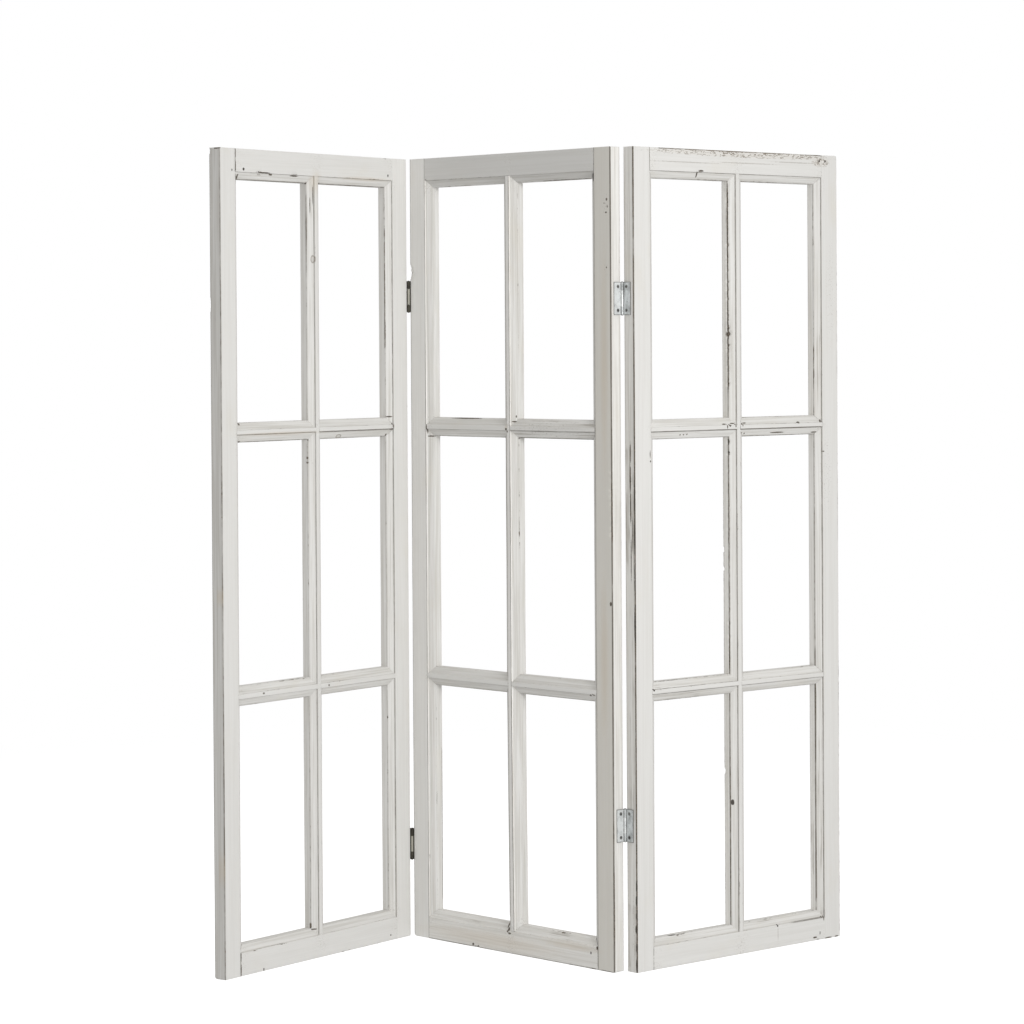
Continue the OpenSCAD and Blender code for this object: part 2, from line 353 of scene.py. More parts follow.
@dataclass(frozen=True)
class Timber:
    """Sizes of the timber and of its moulding, in millimetres.

    face is the flat of a stile or rail beside its moulding, and fillet that of a glazing bar.
    quirk is the depth of the step where the moulding begins, drop how far its slope falls and
    swell how far that bulges. eased and crisp are the radii of the square and the moulded
    edges. Across a flat face the points lie about fill apart, and the outer ones stop short of
    its edges by inside. fit is the play in a coped joint. slope_ends are shares of the
    moulding's width, foot_points and nose_points lie about the slope's two ends, and
    reveal_points are depths past it.
    """

    thickness: float = 28.5
    face: float = 48.0
    moulding: float = 15.5
    drop: float = 8.5
    quirk: float = 3.5
    swell: float = 0.7
    fillet: float = 10.0
    eased: float = 1.7
    crisp: float = 0.8
    fill: float = 9.0
    inside: float = 1.3
    fit: float = 0.15
    slope_steps: int = 6
    slope_ends: tuple[float, float] = (0.06, 0.955)
    foot_points: tuple[tuple[float, float], ...] = ((0.0, -0.35), (0.0, -0.1), (0.35, 0.17))
    nose_points: tuple[tuple[float, float], ...] = ((-0.12, -0.05), (0.0, 0.6))
    reveal_points: tuple[float, ...] = (2.0, 6.0, 10.5, 14.0)

    @property
    def member(self) -> float:
        """Width of a stile or rail."""
        return self.face + self.moulding

    @staticmethod
    def arc(radius: float) -> list[tuple[float, float]]:
        """Eased edge as (distance from the side, distance from the face), from face to side."""
        turn = np.radians([0, 30, 60, 90])
        return [(radius * (1 - math.sin(t)), radius * (1 - math.cos(t))) for t in turn]

    def on_slope(self, t: float) -> tuple[float, float]:
        """Point of the moulding at a share of its width: distance past the quirk, and depth.

        Args:
            t: the share.

        Returns:
            Distance and depth.
        """
        length = math.hypot(self.moulding, self.drop)
        lift = 4 * self.swell * t * (1 - t)
        past = self.moulding * t + self.drop / length * lift
        return past, self.quirk + self.drop * t - self.moulding / length * lift

    def moulded_side(self, start: float) -> list[Point]:
        """Moulded side of a section, from the front face to the back.

        Args:
            start: where the flat face ends and the quirk begins, across the piece.

        Returns:
            Points as (across, depth, the line that they belong to).
        """
        edge, reveal = start + self.moulding, self.quirk + self.drop
        points = [(start - off, depth, QUIRK) for off, depth in self.arc(self.crisp)]
        points += [(start, depth, WALL) for depth in (1.0, self.quirk - 0.6)]
        points += [(start + past, self.quirk + rise, FOOT) for past, rise in self.foot_points]
        top, bottom = self.slope_ends
        for share in (top, *(i / self.slope_steps for i in range(1, self.slope_steps)), bottom):
            past, depth = self.on_slope(share)
            points.append((start + past, depth, NOSE if share == bottom else SLOPE))
        points += [(edge + past, reveal + rise, NOSE) for past, rise in self.nose_points]
        points += [(edge, reveal + rise, REVEAL) for rise in self.reveal_points]
        last = [(edge - off, self.thickness - rise, BACK) for off, rise in self.arc(self.crisp)]
        return points + last[::-1]

    def plain_side(self, depths: list[float]) -> list[Point]:
        """Square side with eased edges, at the depths of the moulded side.

        Args:
            depths: the depths, from the front face.

        Returns:
            Points as in moulded_side.
        """
        points = []
        for depth in depths:
            near = min(depth, self.thickness - depth)
            inset, part = 0.0, OUTSIDE
            if near < self.eased:
                inset = self.eased - math.sqrt(self.eased**2 - (self.eased - near) ** 2)
                part = FRONT if depth < self.thickness / 2 else BACK
            points.append((inset, depth, part))
        return points

    def setback(self, crossing: Crossing, depth: np.ndarray) -> np.ndarray:
        """How far short of a crossing piece's own line the timber stops, by depth.

        Args:
            crossing: what the end meets.
            depth: depths from the front face.

        Returns:
            The distance at each depth.
        """
        if crossing is Crossing.NONE:
            return np.zeros_like(depth)
        start = self.face if crossing is Crossing.MEMBER else self.fillet / 2
        slope = [self.on_slope(t) for t in np.linspace(0, 1, 13)]
        past = np.interp(depth, [d for _, d in slope], [p for p, _ in slope])
        return start + np.where(depth < self.quirk, 0.0, past) + self.fit


class Section:
    """A closed section laid out as a ladder, so that its ends close with even rungs."""

    def __init__(self, timber: Timber, low: list[Point], high: list[Point]) -> None:
        """Lay the ring out: high side, back, low side, front.

        Args:
            timber: sizes of the timber.
            low: points of the low side from front to back.
            high: points of the high side at the same depths.
        """
        self.rungs = len(high)
        back = self._fill(timber, high[-1][0], low[-1][0], timber.thickness, REAR)
        front = self._fill(timber, low[0][0], high[0][0], 0.0, FACE)
        self.back_fill = len(back)
        self.front_fill = len(front)
        ring = high + back + low[::-1] + front
        self.across = np.array([p[0] for p in ring])
        self.depth = np.array([p[1] for p in ring])
        sides = [HIGH] * self.rungs + [LOW] * (len(ring) - self.rungs)
        self.lines: dict[Line, np.ndarray] = {}
        for side in Side:
            for part in Part:
                on = np.array([s is side and p[2] is part for s, p in zip(sides, ring)])
                if on.any():
                    self.lines[side, part] = on
        ahead = np.roll(self.across, -1) - np.roll(self.across, 1)
        down = np.roll(self.depth, -1) - np.roll(self.depth, 1)
        length = np.hypot(ahead, down)
        self.normal = np.stack([down / length, -ahead / length])

    @staticmethod
    def _fill(timber: Timber, start: float, end: float, depth: float, part: Part) -> list[Point]:
        """Points spread evenly across a flat face, up to a little inside its edges.

        Args:
            timber: sizes of the timber.
            start: where the face starts, across.
            end: where it ends.
            depth: the face's depth.
            part: the face.

        Returns:
            The points from start to end.
        """
        inside = math.copysign(timber.inside, end - start)
        inner = (start + inside, end - inside)
        count = max(1, round(abs(inner[1] - inner[0]) / timber.fill))
        return [(a, depth, part) for a in np.linspace(*inner, count + 1)]

    def cap(self, first: int) -> list[tuple[int, ...]]:
        """Faces that close the ring whose vertices start at that index.

        Args:
            first: the index.

        Returns:
            The faces.
        """
        n, back, front = self.rungs, self.back_fill, self.front_fill
        low = [first + n + back + n - 1 - i for i in range(n)]
        high = [first + i for i in range(n)]
        backs = [first + n + i for i in range(back)]
        fronts = [first + 2 * n + back + i for i in range(front)]
        faces = [(high[0], high[1], low[1], low[0], *fronts)]
        faces += [(high[i], high[i + 1], low[i + 1], low[i]) for i in range(1, n - 2)]
        return [*faces, (high[n - 2], high[n - 1], *backs, low[n - 1], low[n - 2])]


class Wander:
    """A smooth random line that comes out the same on every build."""

    def __init__(self, seed: int, step: float, length: float) -> None:
        """Draw the knots, one every step along the length."""
        self.step = step
        self.knots = np.random.default_rng(seed).uniform(-1, 1, int(length / step) + 4)

    def at(self, place: np.ndarray) -> np.ndarray:
        """Value from -1 to 1 at each place.

        Args:
            place: distances along the line.

        Returns:
            The values.
        """
        spot = np.clip(place / self.step + 1, 0, len(self.knots) - 1.001)
        low = spot.astype(int)
        part = spot - low
        part = part * part * (3 - 2 * part)
        return self.knots[low] * (1 - part) + self.knots[low + 1] * part


class Kind(Enum):
    """Kinds of timber piece in a panel."""

    LEFT_STILE = "left_stile"
    RIGHT_STILE = "right_stile"
    TOP_RAIL = "top_rail"
    BOTTOM_RAIL = "bottom_rail"
    UPRIGHT = "upright_bar"
    UPPER_LEFT = "upper_left_bar"
    UPPER_RIGHT = "upper_right_bar"
    LOWER_LEFT = "lower_left_bar"
    LOWER_RIGHT = "lower_right_bar"


@dataclass(frozen=True)
class Run:
    """Where a piece lies in its panel, in millimetres, and where others meet it."""

    origin: Triple
    along: Triple
    across: Triple
    length: float
    ends: tuple[Crossing, Crossing]
    crossed: tuple[float, ...] = ()

    @property
    def mirrored(self) -> bool:
        """Whether the piece is laid out left-handed."""
        turn = Vector(self.across).cross(Vector((0, 1, 0)))
        return turn.dot(Vector(self.along)) < 0


@dataclass(frozen=True)
class Wear:
    """Paint rubbed off an edge, or worn thin on a surface, over a stretch of a piece."""

    side: Side
    part: Part
    amount: float
    start: float = -1e6
    end: float = 1e6


low, high = partial(Wear, LOW), partial(Wear, HIGH)


@dataclass(frozen=True)
class Chip:
    """Wood broken out of one edge of a piece."""

    side: Side
    part: Part
    at: float
    length: float
    depth: float


@dataclass(frozen=True)
class Ragged:
    """A stretch of an edge that is chewed by many small chips.

    gaps and lengths are the ranges of the chips' spacing and length, as shares of gap, and
    depths is that of their depth, as shares of depth.
    """

    side: Side
    part: Part
    start: float
    end: float
    depth: float = 1.2
    gap: float = 14.0
    gaps: tuple[float, float] = (0.4, 1.6)
    lengths: tuple[float, float] = (0.35, 0.9)
    depths: tuple[float, float] = (0.4, 1.2)

    def chips(self, seed: int) -> list[Chip]:
        """Scatter the chips along the stretch.

        Args:
            seed: seed of the draws.

        Returns:
            The chips in order.
        """
        draw = np.random.default_rng(seed + int(self.start))
        chips = []
        at = self.start
        while at < self.end:
            at += self.gap * draw.uniform(*self.gaps)
            length = self.gap * draw.uniform(*self.lengths)
            chips.append(Chip(self.side, self.part, at, length, self.depth * draw.uniform(*self.depths)))
        return chips


@dataclass(frozen=True)
class Damage:
    """All that has happened to one piece of timber.

    joints says how dark each end's joint has opened, and gape how far the moulding
    falls short of what it is coped over. corners are the radii of the sawn ends' outer
    corners, and heel and toe those of the foot's back and front. bow lists places along
    the piece with its offset there. lines are thin dark lines along edges and surfaces, of
    dirt and of painted shade. tone is the paint's lightness with painted light and shade
    over the whole piece, shades what that is times on some surfaces as painted light and
    shade by how they face the light, warm its yellowing, grain how far the grain shows on
    the flat faces and level how strong the usual wear is.
    """

    wear: tuple[Wear, ...] = ()
    chips: tuple[Chip, ...] = ()
    ragged: tuple[Ragged, ...] = ()
    joints: tuple[float, float] = (0.4, 0.4)
    gape: tuple[float, float] = (0.0, 0.0)
    corners: tuple[float, float] = (1.5, 1.0)
    heel: float = 1.5
    toe: float = 1.5
    bow: tuple[tuple[float, float], ...] = ()
    lines: tuple[Wear, ...] = ()
    # Painted light and shade: the piece's lightness and the factors of some of its surfaces.
    tone: float = 1.0
    painted_light: dict[Part, float] = field(default_factory=dict)
    warm: float = 0.0
    grain: float = 0.25
    level: float = 1.0


MEMBER_WEAR = (
    low(FRONT, 0.3), low(BACK, 0.4), low(OUTSIDE, 0.2), high(QUIRK, 0.3), high(FOOT, 0.5),
    high(SLOPE, 0.3), high(NOSE, 0.5), high(REVEAL, 0.15), high(BACK, 0.4),
)
BAR_LINES = {QUIRK: 0.32, FOOT: 0.52, SLOPE: 0.3, NOSE: 0.5, REVEAL: 0.15, BACK: 0.4}
BAR_WEAR = tuple(Wear(side, part, amount) for side in Side for part, amount in BAR_LINES.items())
# Shares of an eased end at which rings stand, and how a joint's dark fades over its rings.
EASED = (0.0, 0.134, 0.5, 1.0)
JOINT_FADE = (1.0, 1.0, 0.8, 0.5)


@dataclass
class Piece:
    """One length of moulded, coped, painted and worn timber, with measures in millimetres.

    Rings stand spacing apart between the margins, at end_rings near the ends, and chip_rings
    apart in chips. end_ease is the easing of a sawn end and wobble how far the edges waver.
    Wear fades in over fade, and uneven is how far it swells and ebbs. line is how dark the
    usual seams are, with dirt and painted shade in them, washed what is left of that on a
    side that looks up, where light from above lifts the painted shade, and craze how far
    from a joint the paint is crazed, on a stile only within craze_face of the moulding. The
    waves are the lengths over which wear, the dark seams, edges and chips change.
    """

    name: str
    run: Run
    section: Section
    timber: Timber
    damage: Damage
    wear: tuple[Wear, ...]
    seed: int
    spacing: float = 7.0
    margin: float = 6.5
    end_rings: tuple[float, ...] = (1.3, 2.4, 4.0)
    chip_rings: float = 1.4
    closest: float = 0.06
    end_ease: float = 0.6
    wobble: float = 0.22
    fade: float = 12.0
    uneven: float = 0.25
    line: float = 0.5
    shade_left_facing_up: float = 0.2
    craze: float = 30.0
    craze_face: float = 14.0
    worn_wave: float = 130.0
    seam_wave: float = 90.0
    edge_waves: tuple[float, float] = (23.0, 8.0)
    chip_wave: float = 2.8

    def wander(self, number: int, wave: float) -> Wander:
        """One of the piece's own random lines."""
        return Wander(self.seed + number, wave, self.run.length)

    def stations(self) -> np.ndarray:
        """Places of the rings along the front face, in millimetres from its start.

        Returns:
            The places in order.
        """
        lead = [self.timber.setback(end, np.zeros(1))[0] for end in self.run.ends]
        length = self.run.length - sum(lead)
        near = [*(share * self.end_ease for share in EASED), *self.end_rings]
        count = max(2, round((length - 2 * self.margin) / self.spacing))
        middle = np.linspace(self.margin, length - self.margin, count)
        places = [near, middle, [length - n for n in near]]
        for chip in self.chips():
            at, reach = chip.at - lead[0], chip.length / 2 + 2
            places.append(np.arange(at - reach, at + reach, self.chip_rings))
        merged = np.unique(np.clip(np.concatenate(places), 0, length))
        keep = [merged[0]]
        for place in merged[1:-1]:
            if min(place - keep[-1], length - place) > self.closest:
                keep.append(place)
        return np.array([*keep, merged[-1]])

    def chips(self) -> list[Chip]:
        """Every chip, with those of the ragged stretches.

        Returns:
            The chips, in the order of their seeds.
        """
        chips = list(self.damage.chips)
        for number, stretch in enumerate(self.damage.ragged):
            chips += stretch.chips(self.seed + 13 * number)
        return chips

    def worn_off(self, s: np.ndarray) -> tuple[np.ndarray, np.ndarray]:
        """How far the paint has gone at each ring point.

        Args:
            s: places of the rings.

        Returns:
            What is rubbed off the edges, and how thin the surfaces have worn.
        """
        rubbed = np.zeros((len(s), len(self.section.across)))
        thin = np.zeros_like(rubbed)
        slow = self.wander(7, self.worn_wave)
        for wear in self.wear:
            on = self.section.lines.get((wear.side, wear.part))
            if on is not None:
                target = rubbed if wear.part in EDGES else thin
                np.maximum(target, self.along(wear, s, slow)[:, None] * on[None, :], out=target)
        return rubbed, thin

    def along(self, wear: Wear, s: np.ndarray, slow: Wander) -> np.ndarray:
        """Strength of one wear along the piece, with a slow change of its own."""
        into = np.minimum(s - wear.start, wear.end - s) / self.fade
        return wear.amount * (1 + self.uneven * slow.at(s)) * np.clip(into, 0, 1)

    def coats(self, s: np.ndarray) -> dict[str, np.ndarray]:
        """Work out how the paint lies, with the painted light and shade that it carries.

        Args:
            s: places of the rings.

        Returns:
            Values of the attributes seam, brushed, tone, warm and craze.
        """
        lines = self.section.lines
        whole = np.ones((len(s), len(self.section.across)))
        seam_dirt_and_shade, brushed, tone, warm = whole * 0, whole * 1, whole * self.damage.tone, whole * 0
        for (side, part), on in lines.items():
            # Seams darken with dirt and painted shade; on a side that looks up, where light from above
            # falls, most of that painted shade is lifted.
            upward = self.run.across[2] * (1 if side is HIGH else -1)
            seam_dirt_and_shade[:, on] = self.line * SEAM_DIRT_AND_SHADE.get(part, 0.0) * (self.shade_left_facing_up if upward > 0.5 else 1.0)
            # Painted light and shade on surfaces by how they face the light.
            tone[:, on] *= self.damage.painted_light.get(part, 1.0)
            if part in SMOOTH:
                brushed[:, on] = self.damage.grain
                warm[:, on] = self.damage.warm
        # Damage lines lay dirt and painted shade along edges and surfaces.
        slow = self.wander(9, self.seam_wave)
        for wear in self.damage.lines:
            on = lines[wear.side, wear.part]
            np.maximum(seam_dirt_and_shade, self.along(wear, s, slow)[:, None] * on[None, :], out=seam_dirt_and_shade)
        reach = np.zeros(len(s))
        places = [s[0], s[-1]] if self.run.ends[0] is not Crossing.NONE else []
        for place in (*places, *self.run.crossed):
            reach = np.maximum(reach, 1 - np.abs(s - place) / self.craze)
        craze = reach[:, None] * whole
        if self.run.ends[0] is Crossing.NONE:
            outer = self.timber.face - self.craze_face
            craze *= np.clip((self.section.across - outer) / self.craze_face, 0, 1)[None, :]
        return {"seam_dirt_and_shade": seam_dirt_and_shade, "brushed": brushed, "tone": tone, "warm": warm, "craze": craze}

    def inward(self, s: np.ndarray, inset: np.ndarray) -> np.ndarray:
        """How far each point moves into the wood, in millimetres.

        Args:
            s: places of the rings.
            inset: what every point of a ring moves.

        Returns:
            The moves, one row for each ring.
        """
        move = np.repeat(inset[:, None], len(self.section.across), axis=1)
        for number, ((_, part), on) in enumerate(self.section.lines.items()):
            if part is FOOT or part not in EDGES:
                continue
            wave = self.wander(31 * number, self.edge_waves[0])
            fine = self.wander(31 * number + 5, self.edge_waves[1])
            depth = self.wobble * (0.55 + 0.45 * wave.at(s) * np.abs(fine.at(s)))
            move += np.maximum(depth, 0)[:, None] * on[None, :]
        return move

    def cut_chips(self, s: np.ndarray, across: np.ndarray, depth: np.ndarray) -> np.ndarray:
        """Break the chips out of the section, in place.

        Args:
            s: places of the rings.
            across: measures across, one row for each ring.
            depth: depths, one row for each ring.

        Returns:
            How bare the wood is left at each point.
        """
        bare = np.zeros_like(across)
        for number, chip in enumerate(self.chips()):
            on = self.section.lines[chip.side, chip.part]
            corner = np.array([self.section.across[on].mean(), self.section.depth[on].mean()])
            out = self.section.normal[:, on].mean(axis=1)
            out /= np.linalg.norm(out)
            jagged = self.wander(61 * number + 3, self.chip_wave)
            inside = 1 - ((s - chip.at) / (chip.length / 2)) ** 2
            level = chip.depth * np.sqrt(np.clip(inside, 0, 1)) * (0.8 + 0.3 * jagged.at(s))
            past = (across - corner[0]) * out[0] + (depth - corner[1]) * out[1] + level[:, None]
            past = np.clip(past, 0, None) * (inside > 0)[:, None]
            past *= np.hypot(across - corner[0], depth - corner[1]) < chip.depth * 3
            across -= out[0] * past
            depth -= out[1] * past
            bare = np.maximum(bare, np.clip(past / chip.depth, 0, 1))
        return bare

    def shape(self) -> dict[str, np.ndarray]:
        """Work out every point of the piece.

        Returns:
            Arrays of one row for each ring: along, across, depth, worn, weather and joint.
        """
        stations = self.stations()
        share = stations / stations[-1]
        ring = self.section
        depth_row = ring.depth[None, :]
        fall = [self.timber.setback(end, depth_row) for end in self.run.ends]
        shallow = np.clip(1 - depth_row / (self.timber.quirk + self.timber.drop + 1), 0, 1)
        reach = np.sqrt(shallow) * (depth_row > 0.5)
        start = fall[0] + self.damage.gape[0] * reach
        end = self.run.length - fall[1] - self.damage.gape[1] * reach
        s = start + share[:, None] * (end - start)
        middle = s.mean(axis=1)

        inset = np.zeros(len(stations))
        for crossing, gap in zip(self.run.ends, (stations, stations[-1] - stations)):
            if crossing is Crossing.NONE:
                into = np.clip(self.end_ease - gap, 0, self.end_ease)
                inset += self.end_ease - np.sqrt(self.end_ease**2 - into**2)
        move = self.inward(middle, inset)
        across = ring.across[None, :] - ring.normal[0][None, :] * move
        depth = ring.depth[None, :] - ring.normal[1][None, :] * move
        bare = self.cut_chips(middle, across, depth)
        self.round_corners(s, across, depth)
        if self.damage.bow:
            places, offsets = zip(*self.damage.bow)
            across = across + np.interp(s, places, offsets)

        joint = np.zeros_like(s)
        for rows, crossing, dark in zip((joint, joint[::-1]), self.run.ends, self.damage.joints):
            if crossing is not Crossing.NONE:
                rows[: len(JOINT_FADE)] = dark * np.array(JOINT_FADE)[:, None]
        rubbed, thin = self.worn_off(middle)
        worn = np.maximum(rubbed, bare)
        form = {"along": s, "across": across, "depth": depth}
        return form | {"worn": worn, "weather": thin, "joint": joint}

    def round_corners(self, s: np.ndarray, across: np.ndarray, depth: np.ndarray) -> None:
        """Round the outer corners of a sawn piece and the heel and toe of its foot, in place.

        Args:
            s: measures along, one row for each ring.
            across: measures across.
            depth: depths.
        """
        if self.run.ends[0] is not Crossing.NONE:
            return
        foot, top = self.damage.corners
        np.maximum(across, self._rounding(foot, s), out=across)
        np.maximum(across, self._rounding(top, self.run.length - s), out=across)
        np.minimum(depth, self.timber.thickness - self._rounding(self.damage.heel, s), out=depth)
        np.maximum(depth, self._rounding(self.damage.toe, s), out=depth)

    @staticmethod
    def _rounding(radius: float, gap: np.ndarray) -> np.ndarray:
        """How far a rounded corner falls back at each distance from the end."""
        rise = np.clip(radius - gap, 0, radius)
        return radius - np.sqrt(radius**2 - rise**2)

    def build(self, place: Matrix) -> bpy.types.Object:
        """Make the mesh object in the row frame.

        Args:
            place: the panel's place, from its own frame in metres.

        Returns:
            The object, with all the attributes that its paint reads.
        """
        form = self.shape()
        rings, count = form["along"].shape
        basis = np.array([self.run.along, self.run.across, (0.0, 1.0, 0.0)])
        local = np.stack([form[key] for key in ("along", "across", "depth")], axis=-1).reshape(-1, 3)
        in_panel = (local @ basis + np.array(self.run.origin)) * MM
        grid = np.arange(rings * count).reshape(rings, count)
        after = np.roll(grid, -1, axis=1)
        quads = np.stack([grid[:-1], after[:-1], after[1:], grid[1:]], axis=-1).reshape(-1, 4)
        if self.run.mirrored:
            quads = quads[:, ::-1]
        caps = [face[::-1] for face in self.section.cap(0)]
        caps += self.section.cap((rings - 1) * count)
        if self.run.mirrored:
            caps = [face[::-1] for face in caps]
        shift = np.random.default_rng(self.seed).uniform(0, 9, 3)
        values = {"grain": local * MM + shift} | self.coats(form["along"].mean(axis=1))
        values |= {key: form[key] for key in ("worn", "weather", "joint")}
        return put_painted(self.name, in_panel, [*quads.tolist(), *caps], place, values)


# Finishes

class Mark(Enum):
    """Kinds of small mark in the paint."""

    NAIL = "nail hole"
    KNOT = "knot showing through as a ring"
    BARE = "paint gone"
    CRACK = "crack along the grain"
    SCORE = "fine scored line"
    STAIN = "yellowed patch"
    FLAKE = "flaking paint"
    SPECKS = "scatter of fine pits"

    @property
    def edge(self) -> tuple[float, float]:
        """Where the mark's outline begins and ends to fade, 1 being its size."""
        soft = {STAIN: (0.2, 1.5), SPECKS: (0.4, 1.3), FLAKE: (0.7, 1.15), SCORE: (0.7, 1.3)}
        return soft.get(self, (0.8, 1.15))

    @property
    def rough(self) -> float:
        """How far the noise breaks up the outline."""
        return {NAIL: 0.3, KNOT: 0.2, SCORE: 1.4, STAIN: 0.8}.get(self, 0.6)


NAIL, KNOT, BARE, CRACK, SCORE, STAIN, FLAKE, SPECKS = Mark


@dataclass(frozen=True)
class Blemish:
    """A mark on a panel: its middle, width and height in millimetres.

    It goes through the front half of the timber, or has a middle and a reach of its own in depth.
    """

    mark: Mark
    x: float
    z: float
    width: float
    height: float
    deep: float = 0.0
    reach: float = 0.0


def marks(mark: Mark, *places: tuple[float, ...]) -> tuple[Blemish, ...]:
    """Several marks of one kind, each given by a blemish's other measures."""
    return tuple(Blemish(mark, *place) for place in places)


@dataclass(frozen=True)
class PaintedWood:
    """Old matt white paint on pine, worn through along its edges.

    Marks on the front fade out between the depths that marked gives, in metres. Its seams
    carry dirt and painted shade, its lightness painted light and shade by piece and surface,
    and its crazing a painted highlight beside each crack.
    """

    name: str
    blemishes: tuple[Blemish, ...] = ()
    paint: Colour = (0.752, 0.745, 0.724)
    streak: Colour = (0.60, 0.585, 0.55)
    aged: Colour = (0.66, 0.61, 0.50)
    bare: Colour = (0.20, 0.165, 0.125)
    dark: Colour = (0.035, 0.03, 0.026)
    # Colour of the seams: dirt and painted shade.
    dirt: Colour = (0.15, 0.135, 0.115)
    stain: Colour = (0.56, 0.46, 0.33)
    # Painted highlight beside the crazing's cracks.
    crack_highlight: Colour = (0.83, 0.825, 0.80)
    shine: float = 0.55
    relief: float = 0.0006
    marked: tuple[float, float] = (0.0155, 0.0145)

    def spot(self, bench: Bench, place: Signal, blemish: Blemish, ragged: Signal) -> Signal:
        """Mask of one mark.

        Args:
            bench: the material's bench.
            place: place in the panel, in metres.
            blemish: the mark.
            ragged: noise that breaks up the outline.

        Returns:
            A signal of 1 inside the mark, or on its ring, and 0 outside.
        """
        through = 1 / (blemish.reach * MM) if blemish.reach else 0.0
        half = (2 / (blemish.width * MM), through, 2 / (blemish.height * MM))
        middle = (blemish.x * MM, blemish.deep * MM, blemish.z * MM)
        scaled = bench.stretch(place, half, tuple(-at * by for at, by in zip(middle, half)))
        reach = bench.node("ShaderNodeVectorMath", {"operation": "LENGTH"}, {0: scaled}, "Value")
        inner, outer = blemish.mark.edge
        mask = (reach + ragged * blemish.mark.rough).step(outer, inner)
        if blemish.mark is KNOT:
            mask = mask * (reach + ragged * 0.3).step(0.55, 0.85, 0.25, 1.0)
        return mask

    def spots(self, bench: Bench, place: Signal, ragged: Signal, *kinds: Mark) -> Signal | float:
        """Joint mask of all marks of the given kinds, or 0 where there are none.

        Args:
            bench: the material's bench.
            place: place in the panel, in metres.
            ragged: noise that breaks up outlines.
            kinds: kinds of mark.

        Returns:
            The mask.
        """
        mask: Signal | float = 0.0
        for blemish in self.blemishes:
            if blemish.mark in kinds:
                mask = self.spot(bench, place, blemish, ragged).highest(mask)
        return mask

    def make(self) -> bpy.types.Material:
        """Build the material.

        Returns:
            The material.
        """
        bench = Bench.material(self.name)
        grain, place = (bench.attribute(name, "Vector") for name in ("grain", "place"))
        read = ("worn", "weather", "joint", "seam_dirt_and_shade", "brushed", "craze", "warm", "tone")
        worn, weather, joint, seam_dirt_and_shade, brushed, craze, warm, tone = map(bench.attribute, read)

        def streaks(along: float, across: float, detail: float = 2.0, rough: float = 0.5) -> Signal:
            """Noise with so many grains to the metre along and across the wood."""
            return bench.noise(bench.stretch(grain, (along, across, across)), detail, rough)

        brush = streaks(5.0, 270.0, 3.0, 0.6)
        broad = streaks(2.2, 90.0)
        cloud = streaks(9.0, 16.0, 3.0)
        chewed = streaks(75.0, 260.0, 3.0, 0.65)
        fine = streaks(420.0, 900.0)
        patch = streaks(13.0, 40.0)

        tint = brush.step(0.4, 0.62) * 0.65 + broad.step(0.38, 0.66) * 0.35
        colour = bench.blend(tint * brushed, self.paint, self.streak)
        colour = bench.blend(cloud.step(0.55, 0.8) * 0.18, colour, self.aged)
        colour = bench.blend(warm, colour, self.aged)
        # Lightness of each piece and surface, with painted light and shade in it.
        colour = bench.node("ShaderNodeVectorMath", {"operation": "SCALE"}, {0: colour, "Scale": tone})

        noisy = (chewed - 0.5) * 1.3 + (fine - 0.5) * 0.5
        rubbed = worn + noisy + (patch - 0.5) * 0.9
        opened = joint + noisy * 0.9 + (patch - 0.5) * 0.5
        dashes = weather + (brush - 0.5) * 1.5 + (patch - 0.5) * 1.3
        gone = (rubbed * worn.step(0.0, 0.08)).step(0.56, 0.86)
        gap = (opened * joint.step(0.0, 0.05)).step(0.5, 0.66)
        bared = gone.highest(gap)
        thin = (dashes * weather.step(0.0, 0.08)).step(0.62, 0.86) * 0.35
        colour = bench.blend(thin, colour, self.bare)
        # Seams darken with dirt and painted shade.
        colour = bench.blend(seam_dirt_and_shade * (patch + chewed).step(0.6, 1.4, 0.75, 1.3), colour, self.dirt)
        veins = streaks(130.0, 210.0, 2.0, 0.6) - 0.5
        vein = veins.highest(veins * -1.0)
        crazed = craze * (patch + cloud).step(0.85, 1.1)
        # Crazing: a painted highlight beside each crack, then the dark crack.
        colour = bench.blend(vein.step(0.05, 0.035) * crazed * 0.5, colour, self.crack_highlight)
        colour = bench.blend(vein.step(0.022, 0.008) * crazed * 0.5, colour, self.bare)
        wood = bench.blend(fine.step(0.35, 0.65), self.dark, self.bare)
        colour = bench.blend(bared, colour, wood)
        ragged = (chewed - 0.5) * 0.8 + (fine - 0.5) * 1.3
        colour, hollow = self.mark_front(bench, place, ragged, colour, wood, gap * 0.6)
        relief = brush * 0.2 + fine * 0.1 + broad * 0.25 - gone * 0.45 - hollow
        rough = bared * (0.9 - self.shine) + self.shine + (cloud - 0.5) * 0.12
        return bench.surface(
            {"Base Color": colour, "Roughness": rough, "Normal": bench.bump(relief, self.relief)}
        )

